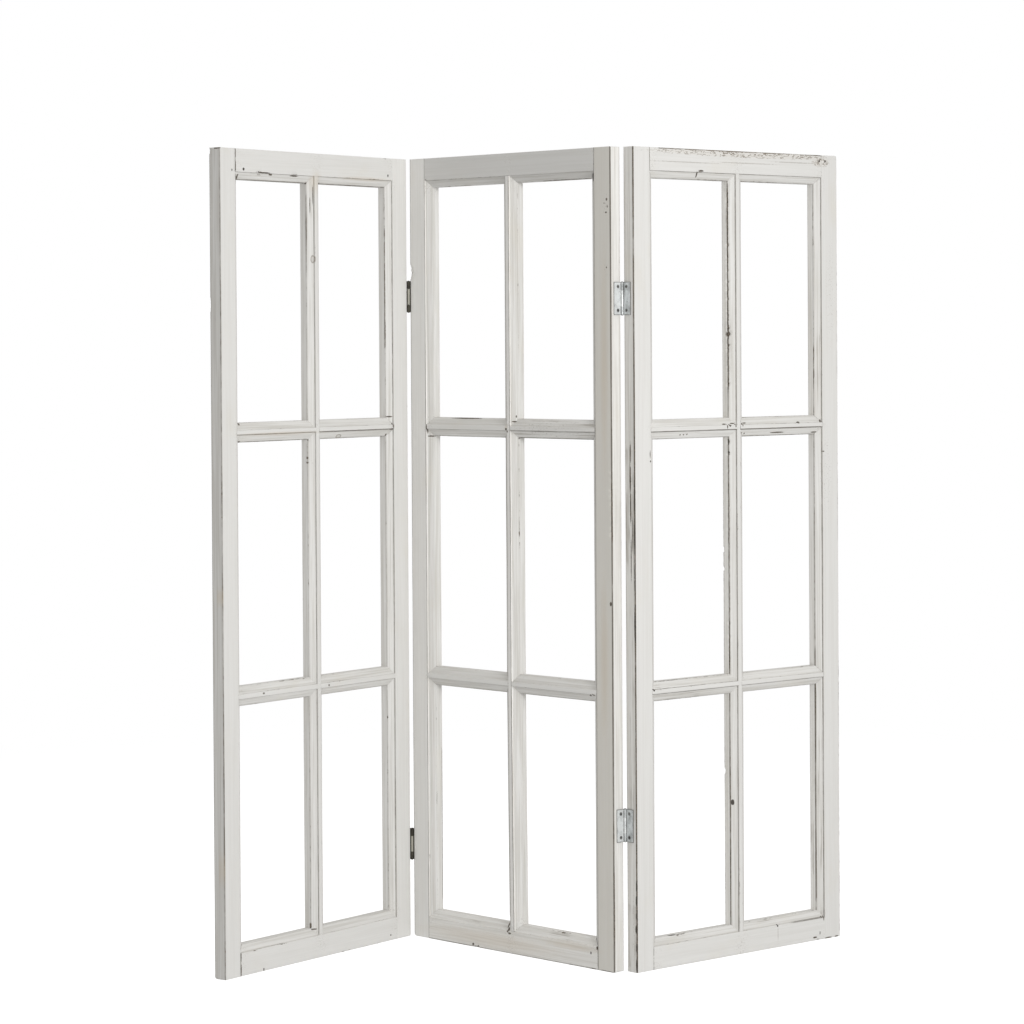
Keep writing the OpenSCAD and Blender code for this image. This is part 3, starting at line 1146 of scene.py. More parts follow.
    def mark_front(
        self, bench: Bench, place: Signal, ragged: Signal, colour: Signal, wood: Signal, hollow: Signal
    ) -> tuple[Signal, Signal]:
        """Put the marks on the front half of the timber.

        Args:
            bench: the material's bench.
            place: place in the panel, in metres.
            ragged: noise that breaks up outlines.
            colour: the paint so far.
            wood: colour of bare wood.
            hollow: depth of the joints' gaps.

        Returns:
            The marked colour and the depth of all hollows.
        """
        front = bench.node("ShaderNodeSeparateXYZ", {}, {0: place}, "Y").step(*self.marked)
        sheet = bench.noise(bench.stretch(place, (38.0, 0.0, 150.0)), 3.0, 0.6) - 0.49
        curl = sheet.step(0.0, 0.015) - sheet.step(0.03, 0.06)
        pits = bench.noise(bench.stretch(place, (330.0, 330.0, 330.0)), 1.0)
        spots = partial(self.spots, bench, place, ragged)
        flaking = spots(FLAKE)
        hole = spots(NAIL, BARE, CRACK)
        for mask, strength, tint in (
            (spots(STAIN), 0.3, self.stain),
            (spots(KNOT), 0.75, self.bare),
            (spots(SCORE), 0.4, self.bare),
            (flaking, 0.12, self.stain),
            (flaking, curl, self.bare),
            (spots(SPECKS), pits.step(0.62, 0.7) * 0.42, self.bare),
            (hole, 1.0, wood),
            (spots(NAIL), 0.75, self.dark),
        ):
            if isinstance(mask, Signal):
                colour = bench.blend(mask * front * strength, colour, tint)
        return colour, hollow.highest(hole * front * 0.6)


@dataclass(frozen=True)
class ZincPlate:
    """Zinc plating, dulled by handling, with dirt and painted shade along the pin and in the recesses.

    open is how much sky a place needs to stay clear of dirt and painted shade, and reach how far
    away that is looked for. rim is how dark the painted shadow along the leaf's edges is, and
    rubbed the colour of a painted highlight band along one side of the plate.
    """

    name: str
    plate: Colour = (0.74, 0.77, 0.79)
    dull: Colour = (0.40, 0.41, 0.41)
    # Colour of dirt, and of painted shade in recesses and along edges.
    grime_and_shade: Colour = (0.06, 0.055, 0.045)
    shine: float = 0.42
    metal: float = 0.5
    dirt: float = 0.35
    relief: float = 0.0001
    reach: float = 0.007
    open: float = 0.78
    rim_shadow: float = 0.0
    rubbed: Colour | None = None

    def make(self) -> bpy.types.Material:
        """Build the material.

        Returns:
            The material.
        """
        bench = Bench.material(self.name)
        where = bench.node("ShaderNodeTexCoord", {}, output="Object")
        span = bench.node("ShaderNodeTexCoord", {}, output="Generated")
        cloud = bench.noise(bench.stretch(where, (90.0, 90.0, 60.0)), 4.0, 0.6)
        rub = bench.noise(bench.stretch(where, (900.0, 900.0, 120.0)), 2.0)
        spots = bench.noise(bench.stretch(where, (260.0, 260.0, 170.0)), 3.0, 0.6)
        tarnish = cloud.step(0.42, 0.7)
        colour = bench.blend(tarnish, self.plate, self.dull)
        colour = bench.blend(spots.step(0.58, 0.72) * self.dirt, colour, self.grime_and_shade)
        # Dirt and painted shade gather where little sky is seen: in the recesses and along the pin.
        open_sky = bench.node(
            "ShaderNodeAmbientOcclusion", {"samples": 6}, {"Distance": self.reach}, "AO"
        )
        # Painted highlight: a light band along one side of the plate.
        if self.rubbed:
            near = bench.node("ShaderNodeSeparateXYZ", {}, {0: span}, "X")
            colour = bench.blend(near.step(0.4, 0.28), colour, self.rubbed)
        recess_grime_and_shade = (open_sky + (spots - 0.5) * 0.3).step(self.open, self.open - 0.4)
        colour = bench.blend(recess_grime_and_shade, colour, self.grime_and_shade)
        # Painted shadow: dark lines along the leaf's edges.
        if self.rim_shadow:
            across = bench.stretch(span, (2, 2, 2), (-1, -1, -1))
            away = bench.node("ShaderNodeVectorMath", {"operation": "ABSOLUTE"}, {0: across})
            sides = bench.node("ShaderNodeSeparateXYZ", {}, {0: away}, "X")
            ends = bench.node("ShaderNodeSeparateXYZ", {}, {0: away}, "Z")
            edge = sides.step(0.86, 0.93).highest(ends.step(0.955, 0.975))
            colour = bench.blend(edge * spots.step(0.3, 0.6, 0.6, 1.0) * self.rim_shadow, colour, self.grime_and_shade)
        rough = tarnish * 0.2 + rub * 0.12 + self.shine
        relief = bench.bump(cloud * 0.5 + rub * 0.2, self.relief)
        return bench.surface(
            {"Base Color": colour, "Metallic": self.metal, "Roughness": rough, "Normal": relief}
        )


# Histories

@dataclass(frozen=True)
class History:
    """What has happened to one panel: the marks in its paint and the damage to its pieces.

    level is how strong the usual wear of its edges is, and line how dark its usual seams are, with dirt and
    painted shade in them.
    """

    blemishes: tuple[Blemish, ...] = ()
    damage: dict[Kind, Damage] = field(default_factory=dict)
    level: float = 1.0
    line: float = 0.5


LEFT_MARKS = (
    *marks(
        NAIL, (74, 1658, 6, 6), (38, 1655, 3, 5), (120, 4, 3.5, 6), (541, 12, 3.5, 4), (548, 1662, 4, 6),
    ),
    *marks(
        CRACK, (142, 1653, 34, 2.6), (163, 1650, 12, 4), (238, 1650, 26, 2.6), (299, 1612, 1.6, 44),
        (293, 1590, 1.6, 36), (543, 1146, 7, 3), (556, 1139, 14, 3), (286, 69, 2.4, 12),
        (291, 61, 13, 2.8),
    ),
    *marks(
        BARE, (285, 1637, 3, 5), (327, 1637, 3, 5), (49, 44, 3, 32), (49, 14, 3.4, 28), (49, 1690, 2, 24),
        (49, 1664, 2.2, 26), (0, 1699, 8, 4, 8, 12), (561, 1120, 4, 12), (557, 1112, 12, 3.4),
        (534, 1096, 8, 3.4), (272, 1152, 24, 2.6), (62, 1638, 6, 18), (286, 1058, 2.4, 5),
        (286, 1048, 2.4, 4), (64, 1134, 5, 5), (65, 1098, 5, 4), (546, 1100, 5, 5), (337, 574, 5, 4),
        (126, 576, 6, 4),
    ),
    *marks(
        STAIN, (190, 1112, 250, 8), (306, 1640, 34, 46), (0, 782, 6, 34), (0, 226, 6, 60),
        (470, 1652, 150, 9),
    ),
    *marks(KNOT, (298, 1477, 9, 17), (384, 1101, 18, 9)),
    *marks(SPECKS, (293, 1054, 12, 22), (45, 1134, 16, 34), (46, 1080, 14, 34), (542, 1140, 30, 16)),
)
LEFT_DAMAGE = {
    Kind.LEFT_STILE: Damage(
        wear=(
            low(FRONT, 0.42, 0, 760), low(BACK, 0.65), low(OUTSIDE, 0.45, 1335, 1420),
            low(OUTSIDE, 0.4, 1120, 1190), high(FOOT, 0.7, 140, 250),
        ),
        lines=(low(FRONT, 0.8), low(BACK, 1.0), high(NOSE, 0.8, 60, 480)),
        chips=(
            Chip(LOW, FRONT, 1000, 26, 1.6), Chip(LOW, FRONT, 945, 14, 1.8),
            Chip(LOW, BACK, 1693, 12, 2.2), Chip(LOW, BACK, 1380, 30, 1.4),
        ),
        corners=(3.0, 2.0), heel=7.0, painted_light={OUTSIDE: 0.87},
    ),
    Kind.TOP_RAIL: Damage(
        wear=(
            high(FOOT, 0.62, 60, 300), high(FOOT, 0.85, 320, 560), high(QUIRK, 0.6, 320, 560),
            high(NOSE, 0.68, 310, 560), high(QUIRK, 0.8, 118, 170),
        ),
        lines=(high(NOSE, 0.85),),
        chips=(
            Chip(HIGH, QUIRK, 130, 24, 3.0), Chip(HIGH, QUIRK, 238, 20, 2.6),
            Chip(LOW, FRONT, 532, 18, 1.6),
        ),
        joints=(0.75, 0.3), gape=(1.6, 0.0),
    ),
    Kind.BOTTOM_RAIL: Damage(
        wear=(high(FOOT, 0.6, 50, 200), low(FRONT, 0.45)),
        chips=(Chip(HIGH, QUIRK, 100, 18, 1.2), Chip(HIGH, QUIRK, 190, 26, 1.0)),
        joints=(0.95, 0.35),
    ),
    Kind.UPRIGHT: Damage(
        wear=(
            low(NOSE, 0.8, 1480, 1632), low(SLOPE, 0.5, 1400, 1640), high(FOOT, 0.7),
            high(FOOT, 1.0, 50, 255), low(QUIRK, 0.5, 1420, 1640),
        ),
        lines=(low(FOOT, 0.9), low(NOSE, 0.8, 1440, 1632)),
        chips=(
            Chip(HIGH, QUIRK, 249, 10, 1.8), Chip(LOW, NOSE, 68, 9, 1.4), Chip(LOW, NOSE, 1096, 12, 2.0),
        ),
    ),
    Kind.RIGHT_STILE: Damage(
        wear=(high(NOSE, 0.8, 1280, 1560), high(NOSE, 0.45, 600, 1280), high(FOOT, 0.62)),
        lines=(high(FOOT, 0.75),),
        chips=(Chip(HIGH, NOSE, 738, 8, 1.6), Chip(HIGH, NOSE, 485, 8, 1.6)),
        corners=(4.0, 2.0), tone=1.04,
    ),
    Kind.UPPER_LEFT: Damage(
        wear=(low(FOOT, 0.7), low(NOSE, 0.6)),
        lines=(low(FOOT, 0.8), low(QUIRK, 0.9), low(NOSE, 0.8)),
        chips=(Chip(HIGH, NOSE, 70, 8, 2.0), Chip(LOW, NOSE, 278, 20, 1.6)),
    ),
    Kind.UPPER_RIGHT: Damage(
        wear=(low(FOOT, 0.8),),
        lines=(low(FOOT, 1.0), low(QUIRK, 1.0), low(NOSE, 0.6)),
        ragged=(Ragged(LOW, QUIRK, 12, 236, 1.0, 24.0),),
        joints=(0.4, 0.85),
    ),
    Kind.LOWER_LEFT: Damage(
        wear=(low(FOOT, 0.85), low(FOOT, 1.1, 50, 110), high(NOSE, 0.8, 180, 290)),
        lines=(low(FOOT, 0.8), low(FOOT, 1.3, 60, 150)),
        chips=(Chip(HIGH, NOSE, 272, 12, 3.0),),
    ),
    Kind.LOWER_RIGHT: Damage(
        wear=(low(FOOT, 0.6),),
        lines=(low(FOOT, 0.9),),
    ),
}
LEFT_HISTORY = History(LEFT_MARKS, LEFT_DAMAGE, level=0.9, line=0.7)

MIDDLE_MARKS = (
    *marks(NAIL, (544, 33, 3.5, 6), (558, 1639, 9, 16)),
    *marks(
        BARE, (291, 59, 4, 12), (295, 49, 6, 10), (301, 43, 9, 4), (561, 57, 4.5, 16), (562, 46, 5, 9),
        (188, 6, 7, 5), (204, 3, 6, 4), (484, 1, 12, 3), (548, 1, 20, 3.4), (588, 0, 48, 4.4),
        (601, 1592, 4.5, 6), (594, 1584, 2.5, 3), (603, 1577, 2.5, 5), (599, 1565, 5, 3.5),
        (600, 1452, 3, 4), (607, 760, 6, 9), (543, 567, 5, 4), (553, 569, 5, 4), (299, 1115, 5, 5),
        (168, 1136, 95, 2.4), (303, 1110, 4, 5), (322, 1142, 2.4, 5), (561, 1134, 6, 6),
        (561.5, 1103, 4.5, 12), (57, 1096, 15, 3),
    ),
    *marks(SPECKS, (598, 1578, 22, 56), (598, 1445, 16, 40), (420, 1117, 250, 44), (55, 1117, 30, 60)),
    *marks(
        STAIN, (299, 1119, 9, 18), (592, 1250, 20, 420), (588, 640, 22, 300), (250, 22, 380, 34),
        (480, 40, 160, 16),
    ),
    *marks(CRACK, (318, 1131, 12, 3), (333, 1095, 16, 3), (49.5, 1112, 3, 22), (297, 1131, 3, 12)),
)
MIDDLE_DAMAGE = {
    Kind.LEFT_STILE: Damage(
        wear=(
            high(FOOT, 0.35, 66, 500), high(FOOT, 0.85, 155, 195), high(NOSE, 0.5, 60, 520),
            high(BACK, 1.2, 80, 420), low(FRONT, 0.4, 0, 300),
        ),
        lines=(high(QUIRK, 0.6), low(FRONT, 0.8), high(BACK, 1.2, 80, 420)),
        chips=(Chip(LOW, FRONT, 1454, 32, 3.2), Chip(LOW, BACK, 1454, 26, 2.4)),
        corners=(9.0, 2.0), toe=3.0, tone=1.08, painted_light={WALL: 1.17, FOOT: 1.15}, level=0.4,
    ),
    Kind.TOP_RAIL: Damage(
        wear=(high(FOOT, 0.6, 60, 310), high(NOSE, 0.8, 400, 560), high(NOSE, 0.5, 60, 400)),
        chips=(Chip(HIGH, QUIRK, 60, 12, 1.6),),
        joints=(0.35, 0.5), gape=(0.8, 2.2), tone=0.87,
    ),
    Kind.BOTTOM_RAIL: Damage(
        wear=(low(FRONT, 0.5, 40, 330), high(NOSE, 0.45, 300, 560), high(SLOPE, 0.45)),
        lines=(low(FRONT, 0.7, 40, 560),),
        chips=(
            Chip(LOW, FRONT, 200, 20, 2.4), Chip(HIGH, NOSE, 455, 24, 1.4),
            Chip(HIGH, NOSE, 548, 14, 2.6),
        ),
        joints=(0.6, 0.7), gape=(0.5, 1.8), tone=1.09, warm=0.03, grain=0.85,
    ),
    Kind.UPRIGHT: Damage(
        wear=(
            low(FOOT, 0.75), low(NOSE, 0.75, 60, 600), high(NOSE, 0.6, 850, 1140),
            high(NOSE, 0.42, 1140, 1640),
        ),
        lines=(low(SLOPE, 0.42), low(NOSE, 1.0), high(QUIRK, 0.8)),
        chips=(Chip(LOW, NOSE, 66, 16, 3.0),),
        gape=(1.0, 0.0), tone=1.06, painted_light={WALL: 1.2, FOOT: 1.16, SLOPE: 1.08}, level=0.6,
        bow=((0, 4.5), (60, 4.0), (330, 1.6), (574, 0.0), (850, 0.4), (1117, 0.0), (1700, 0.0)),
    ),
    Kind.RIGHT_STILE: Damage(
        wear=(
            low(FRONT, 0.5, 0, 1650), low(FRONT, 1.25, 880, 1020), low(FRONT, 0.75, 60, 215),
            low(OUTSIDE, 0.3), low(BACK, 0.6),
        ),
        lines=(high(QUIRK, 1.0), high(NOSE, 0.9), low(FRONT, 1.2)),
        ragged=(Ragged(LOW, FRONT, 880, 1020, 2.2), Ragged(LOW, FRONT, 50, 215, 1.2)),
        corners=(5.0, 3.0), heel=3.0, toe=2.5, tone=0.93, painted_light={OUTSIDE: 1.22}, warm=0.3,
    ),
    Kind.UPPER_LEFT: Damage(
        wear=(low(FOOT, 0.5),),
        lines=(low(FOOT, 1.0, 80, 160), low(FOOT, 0.5), low(NOSE, 0.6)),
        chips=(Chip(LOW, NOSE, 82, 40, 1.6),),
    ),
    Kind.UPPER_RIGHT: Damage(
        wear=(low(FOOT, 0.6), high(SLOPE, 0.5), low(SLOPE, 0.5)),
        lines=(low(FOOT, 1.0), low(QUIRK, 0.7), low(NOSE, 1.3)),
        chips=(Chip(HIGH, NOSE, 250, 10, 2.0),),
        joints=(0.5, 0.9), grain=0.6,
    ),
    Kind.LOWER_LEFT: Damage(
        wear=(low(FOOT, 0.5),),
        lines=(low(FOOT, 0.7), low(NOSE, 0.5)),
    ),
    Kind.LOWER_RIGHT: Damage(
        wear=(low(FOOT, 0.5),),
        lines=(low(FOOT, 0.8), low(NOSE, 0.6)),
        chips=(Chip(HIGH, NOSE, 252, 8, 2.0),),
    ),
}
MIDDLE_HISTORY = History(MIDDLE_MARKS, MIDDLE_DAMAGE, level=0.85, line=0.06)

RIGHT_MARKS = (
    *marks(FLAKE, (320, 1694, 560, 15), (560, 1684, 54, 20)),
    *marks(
        NAIL, (416, 47, 4, 5.5), (122, 63.6, 42, 3), (548, 15, 2.4, 7), (0, 178, 4, 26, 1, 1.8),
        (0, 148, 4, 24, 1, 2.4), (0, 116, 4, 20, 1, 2), (0, 90, 4, 18, 2, 2.6), (0, 52, 4, 22, 1, 2.2),
        (0, 16, 4, 30, 1, 2.6), (0, 980, 4, 90, 1, 1.6), (0, 900, 4, 80, 1, 1.8), (0, 810, 4, 90, 1, 1.6),
        (0, 720, 4, 80, 1, 2.2), (557, 1687, 5, 5), (575, 1687, 5, 5), (46, 1052, 3.5, 4),
        (285.5, 1086, 6, 13, 12, 3.4), (285.5, 1063, 6, 10, 11, 2.8), (53, 579, 5, 5),
        (290, 323, 6.5, 12),
    ),
    *marks(
        SCORE, (417, 30, 1.8, 30), (150, 1672, 170, 2.0), (330, 1675, 170, 2.0), (480, 1681, 130, 2.0),
    ),
    *marks(
        BARE, (127, 63.5, 44, 2.6), (560, 46, 3, 12), (554, 49, 3.5, 3.5), (574, 1.5, 22, 3.2),
        (600, 1.5, 12, 3.2), (0, 1070, 4, 46, 12, 1.6), (0, 1018, 4, 60, 12.5, 2.2),
        (0, 958, 4, 70, 12, 1.8), (0, 905, 4, 80, 6, 1.2), (0, 850, 4, 90, 11, 1.2), (320, 1104, 4, 3),
        (329, 1103, 4, 3), (490, 1123, 9, 4), (560, 1125, 5, 6), (545, 1101, 18, 2.8),
        (430, 1103, 44, 2.6), (566, 1059, 6, 2.4), (280, 1121, 7, 5), (138, 1104.5, 4, 3),
        (148, 1104.5, 4, 3), (158, 1105, 4, 3), (197, 1655, 14, 4), (189, 1647, 4, 12), (532, 7, 13, 3.6),
    ),
    *marks(
        SPECKS, (0, 95, 6, 220, 4, 10), (0, 80, 8, 180, 3, 7), (576, 1010, 34, 200), (590, 1400, 30, 240),
    ),
    *marks(
        CRACK, (45, 1066, 2, 16), (265, 1124, 12, 2.6), (272, 1119, 3, 9), (290, 1125, 14, 2.4),
        (297, 1120, 3, 8), (318, 1122, 3, 8), (326, 1125, 11, 2.4),
    ),
)
RIGHT_DAMAGE = {
    Kind.LEFT_STILE: Damage(
        wear=(
            low(FRONT, 0.9), low(FRONT, 1.3, 664, 1014), low(FRONT, 1.4, 664, 762),
            low(FRONT, 1.4, 0, 190), low(OUTSIDE, 0.62, 300, 1090), low(OUTSIDE, 0.55, 700, 1080),
            low(OUTSIDE, 0.52, 0, 150), low(OUTSIDE, 0.33, 1090, 1700), low(BACK, 0.55),
        ),
        lines=(low(FRONT, 1.2), low(BACK, 0.7)),
        ragged=(Ragged(LOW, FRONT, 664, 1014, 1.5, 12.0), Ragged(LOW, FRONT, 4, 190, 1.8, 11.0)),
        heel=3.0, painted_light={OUTSIDE: 1.03},
    ),
    Kind.TOP_RAIL: Damage(
        wear=(high(FOOT, 0.75), high(NOSE, 0.62), low(FRONT, 0.8, 74, 560)),
        chips=(Chip(HIGH, QUIRK, 193, 14, 2.4), Chip(HIGH, NOSE, 197, 10, 1.6)),
        joints=(0.8, 0.6),
    ),
    Kind.BOTTOM_RAIL: Damage(
        wear=(
            high(FOOT, 0.7, 60, 290), high(FOOT, 1.0, 430, 562), high(FOOT, 0.6, 290, 430),
            high(NOSE, 0.62), low(FRONT, 0.55, 420, 560), high(SLOPE, 0.5),
        ),
        lines=(high(FOOT, 1.1, 451, 561), high(QUIRK, 0.9, 451, 561)),
        chips=(Chip(HIGH, NOSE, 128, 32, 3.0), Chip(LOW, FRONT, 535, 14, 2.0)),
        joints=(0.72, 0.4),
    ),
    Kind.UPRIGHT: Damage(
        wear=(
            low(NOSE, 1.25, 1189, 1632), low(NOSE, 0.8, 60, 1010), low(REVEAL, 0.35, 1189, 1632),
            high(FOOT, 0.72), high(NOSE, 0.6), low(BACK, 0.7),
        ),
        lines=(low(NOSE, 0.9), low(NOSE, 1.4, 1189, 1640), low(FOOT, 1.0)),
        chips=(
            Chip(LOW, NOSE, 1317, 16, 4.0), Chip(LOW, NOSE, 1240, 24, 2.4),
            Chip(LOW, NOSE, 1088, 12, 2.6), Chip(LOW, NOSE, 1062, 9, 2.2), Chip(LOW, BACK, 858, 12, 2.4),
            Chip(LOW, BACK, 817, 10, 2.0), Chip(LOW, BACK, 384, 14, 2.4),
        ),
        ragged=(Ragged(LOW, NOSE, 1189, 1632, 2.4, 15.0), Ragged(LOW, NOSE, 560, 1010, 1.3, 13.0)),
        painted_light={REVEAL: 1.22},
    ),
    Kind.RIGHT_STILE: Damage(
        wear=(
            high(FOOT, 0.7), high(FOOT, 0.85, 60, 1090), high(NOSE, 0.62), high(NOSE, 1.0, 480, 585),
            high(REVEAL, 0.6, 130, 410), low(FRONT, 0.62, 0, 1480), high(SLOPE, 0.5),
        ),
        lines=(
            high(FOOT, 0.9, 60, 1090), high(NOSE, 0.7, 640, 950), high(NOSE, 1.2, 80, 640),
            low(FRONT, 0.6, 860, 1010), low(FRONT, 0.5, 1220, 1280),
        ),
        corners=(2.0, 6.0), painted_light={REVEAL: 1.18},
    ),
    Kind.UPPER_LEFT: Damage(
        wear=(low(FOOT, 0.85), low(SLOPE, 0.5)),
        lines=(low(FOOT, 1.0), low(QUIRK, 1.0), low(NOSE, 0.6)),
    ),
    Kind.UPPER_RIGHT: Damage(
        wear=(low(FOOT, 0.7), low(NOSE, 0.9)),
        lines=(low(FOOT, 1.0), low(QUIRK, 1.2), low(NOSE, 0.8)),
        joints=(0.6, 0.75),
    ),
    Kind.LOWER_LEFT: Damage(
        wear=(low(FOOT, 0.85), high(FOOT, 0.8)),
        lines=(low(FOOT, 1.1), low(QUIRK, 0.7)),
    ),
    Kind.LOWER_RIGHT: Damage(
        wear=(low(FOOT, 0.7), low(FOOT, 1.0, 60, 130)),
        lines=(low(FOOT, 1.0), low(QUIRK, 0.6)),
        joints=(0.5, 0.9),
    ),
}
RIGHT_HISTORY = History(RIGHT_MARKS, RIGHT_DAMAGE, level=1.15, line=0.9)


# Panels

@dataclass
class Panel:
    """One window-frame panel: nine moulded pieces and its dowels.

    upper and lower are the heights of its cross bars, as shares of the panel's. Each piece
    draws from seeds of its own, seed_step apart.
    """

    name: str
    body: str
    place: Matrix
    timber: Timber
    seed: int
    history: History
    width: float = 612.0
    height: float = 1700.0
    upper: float = 0.657
    lower: float = 0.338
    seed_step: int = 97

    def runs(self) -> dict[Kind, Run]:
        """Where each piece lies in the panel.

        Returns:
            The runs by kind, in the order of their seeds.
        """
        up, right = (0.0, 0.0, 1.0), (1.0, 0.0, 0.0)
        left, down = (-1.0, 0.0, 0.0), (0.0, 0.0, -1.0)
        middle = self.width / 2
        sawn = (Crossing.NONE, Crossing.NONE)
        coped = (Crossing.MEMBER, Crossing.MEMBER)
        bars = (self.height * self.upper, self.height * self.lower)
        joints = (*bars, self.timber.member, self.height - self.timber.member)
        runs = {
            Kind.LEFT_STILE: Run((0, 0, 0), up, right, self.height, sawn, joints),
            Kind.RIGHT_STILE: Run((self.width, 0, 0), up, left, self.height, sawn, joints),
            Kind.TOP_RAIL: Run((0, 0, self.height), right, down, self.width, coped, (middle,)),
            Kind.BOTTOM_RAIL: Run((0, 0, 0), right, up, self.width, coped, (middle,)),
            Kind.UPRIGHT: Run((middle, 0, 0), up, right, self.height, coped, bars),
        }
        rows = ((Kind.UPPER_LEFT, Kind.UPPER_RIGHT), (Kind.LOWER_LEFT, Kind.LOWER_RIGHT))
        for z, (first, second) in zip(bars, rows):
            runs[first] = Run((0, 0, z), right, up, middle, (Crossing.MEMBER, Crossing.BAR))
            runs[second] = Run((middle, 0, z), right, up, middle, (Crossing.BAR, Crossing.MEMBER))
        return runs

    def sections(self) -> tuple[Section, Section]:
        """Sections of a stile or rail, and of a glazing bar.

        Returns:
            The two sections.
        """
        moulded = self.timber.moulded_side(self.timber.face)
        plain = self.timber.plain_side([p[1] for p in moulded])
        half = self.timber.moulded_side(self.timber.fillet / 2)
        other = [(-a, depth, part) for a, depth, part in half]
        return Section(self.timber, plain, moulded), Section(self.timber, other, half)

    def build(self) -> list[bpy.types.Object]:
        """Make every piece, dress it and let it ride on the panel's body.

        Returns:
            The pieces.
        """
        member, bar = self.sections()
        history = self.history
        paint = PaintedWood(f"{self.name} panel paint", history.blemishes).make()
        made = []
        for number, (kind, run) in enumerate(self.runs().items()):
            node = f"{self.name}_{kind.value}"
            section, usual = (bar, BAR_WEAR) if kind.value.endswith("bar") else (member, MEMBER_WEAR)
            damage = history.damage.get(kind, Damage())
            level = history.level * damage.level
            wear = tuple(replace(w, amount=w.amount * level) for w in usual) + damage.wear
            seed = self.seed + self.seed_step * number
            name = f"{node}_timber"
            piece = Piece(name, run, section, self.timber, damage, wear, seed, line=history.line)
            made.append(self.fit(piece.build(self.place), node, paint))
        pegs = Pegs(self.width, self.height).build(f"{self.name}_pegs", self.place)
        made.append(self.fit(pegs, f"{self.name}_dowels", paint, "dowel_wood"))
        return made

    def fit(
        self, thing: bpy.types.Object, node: str, finish: bpy.types.Material, slot: str = "painted_wood"
    ) -> bpy.types.Object:
        """Dress a piece and put it in the place of its node.

        Args:
            thing: the piece.
            node: the node that it stands for.
            finish: its material.
            slot: not used.

        Returns:
            The piece.
        """
        thing.data.materials.append(finish)
        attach(thing, self.body)
        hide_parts(node)
        log.info("%s: %d faces", thing.name, len(thing.data.polygons))
        return thing


@dataclass(frozen=True)
class Pegs:
    """The four dowels that lock a panel's corner joints, seen only at the back.

    aside and inset place them from the panel's sides and ends. They run from the depth first
    to last, and their domed backs stand proud of that. All sizes are in millimetres.
    """

    width: float
    height: float
    radius: float = 3.0
    aside: float = 38.75
    inset: float = 36.2
    first: float = 7.0
    last: float = 28.5
    proud: float = 0.3
    sides: int = 20
    brushed: float = 0.4
    edge_wear: float = 0.62
    dome_wear: float = 0.2

    def outline(self) -> list[tuple[float, float]]:
        """Half outline of a peg as (radius, depth), from its tip to its domed back."""
        dome = [(self.radius * math.cos(t), self.last + self.proud * math.sin(t)) for t in (0.0, 0.6, 1.1)]
        return [(self.radius - 0.5, self.first), (self.radius, self.first + 0.6), *dome]

    def build(self, name: str, place: Matrix) -> bpy.types.Object:
        """Make the four pegs as one object, with the attributes of the paint.

        Args:
            name: the object's name.
            place: the panel's place.

        Returns:
            The object.
        """
        outline = self.outline()
        points: list[Triple] = []
        faces: list[tuple[int, ...]] = []
        ring: list[float] = []
        turns = [2 * math.pi * k / self.sides for k in range(self.sides)]
        for x in (self.aside, self.width - self.aside):
            for z in (self.inset, self.height - self.inset):
                base = len(points)
                for radius, depth in outline:
                    points += [(x + radius * math.cos(t), depth, z + radius * math.sin(t)) for t in turns]
                    wear = self.edge_wear if radius > self.radius * 0.95 else self.dome_wear
                    ring += [wear] * self.sides
                faces += bands(base, len(outline) - 1, self.sides)
                faces.append(tuple(range(base, base + self.sides)))
                last = base + (len(outline) - 1) * self.sides
                faces.append(tuple(range(last + self.sides - 1, last - 1, -1)))
        in_panel = np.array(points) * MM
        whole = np.ones(len(points))
        values = {"grain": in_panel, "worn": np.array(ring), "tone": whole, "brushed": whole * self.brushed}
        values |= dict.fromkeys(("weather", "joint", "seam_dirt_and_shade", "warm", "craze"), whole * 0.0)
        return put_painted(name, in_panel, faces, place, values)


@dataclass(frozen=True)
class Fold:
    """How the three panels stand: their turns in plan, in degrees, and the pins' stand-off.

    pin_off is how far a pin's axis stands off the panel's face, and off its side.
    """

    turns: Triple = (53.5, -46.0, 41.5)
    pin_off: float = 3.55 / math.sqrt(2)
    width: float = 612.0
    thickness: float = 28.5

    def places(self, joints: list[dict]) -> list[Matrix]:
        """Place of each panel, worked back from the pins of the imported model.

        Args:
            joints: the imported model's joints.

        Returns:
            The places from left to right.
        """
        pins = {joint["name"]: Vector(joint["pos_m"]).to_2d() for joint in joints}
        off = self.pin_off
        anchors = (
            (pins["left_fold"], (self.width + off, -off)),
            (pins["left_fold"], (-off, -off)),
            (pins["right_fold"], (-off, self.thickness + off)),
        )
        places = []
        for turn, (pin, held) in zip(self.turns, anchors):
            rotation = Matrix.Rotation(math.radians(turn), 4, "Z")
            shift = pin.to_3d() - rotation @ (Vector((*held, 0)) * MM)
            places.append(Matrix.Translation(shift) @ rotation)
        return places


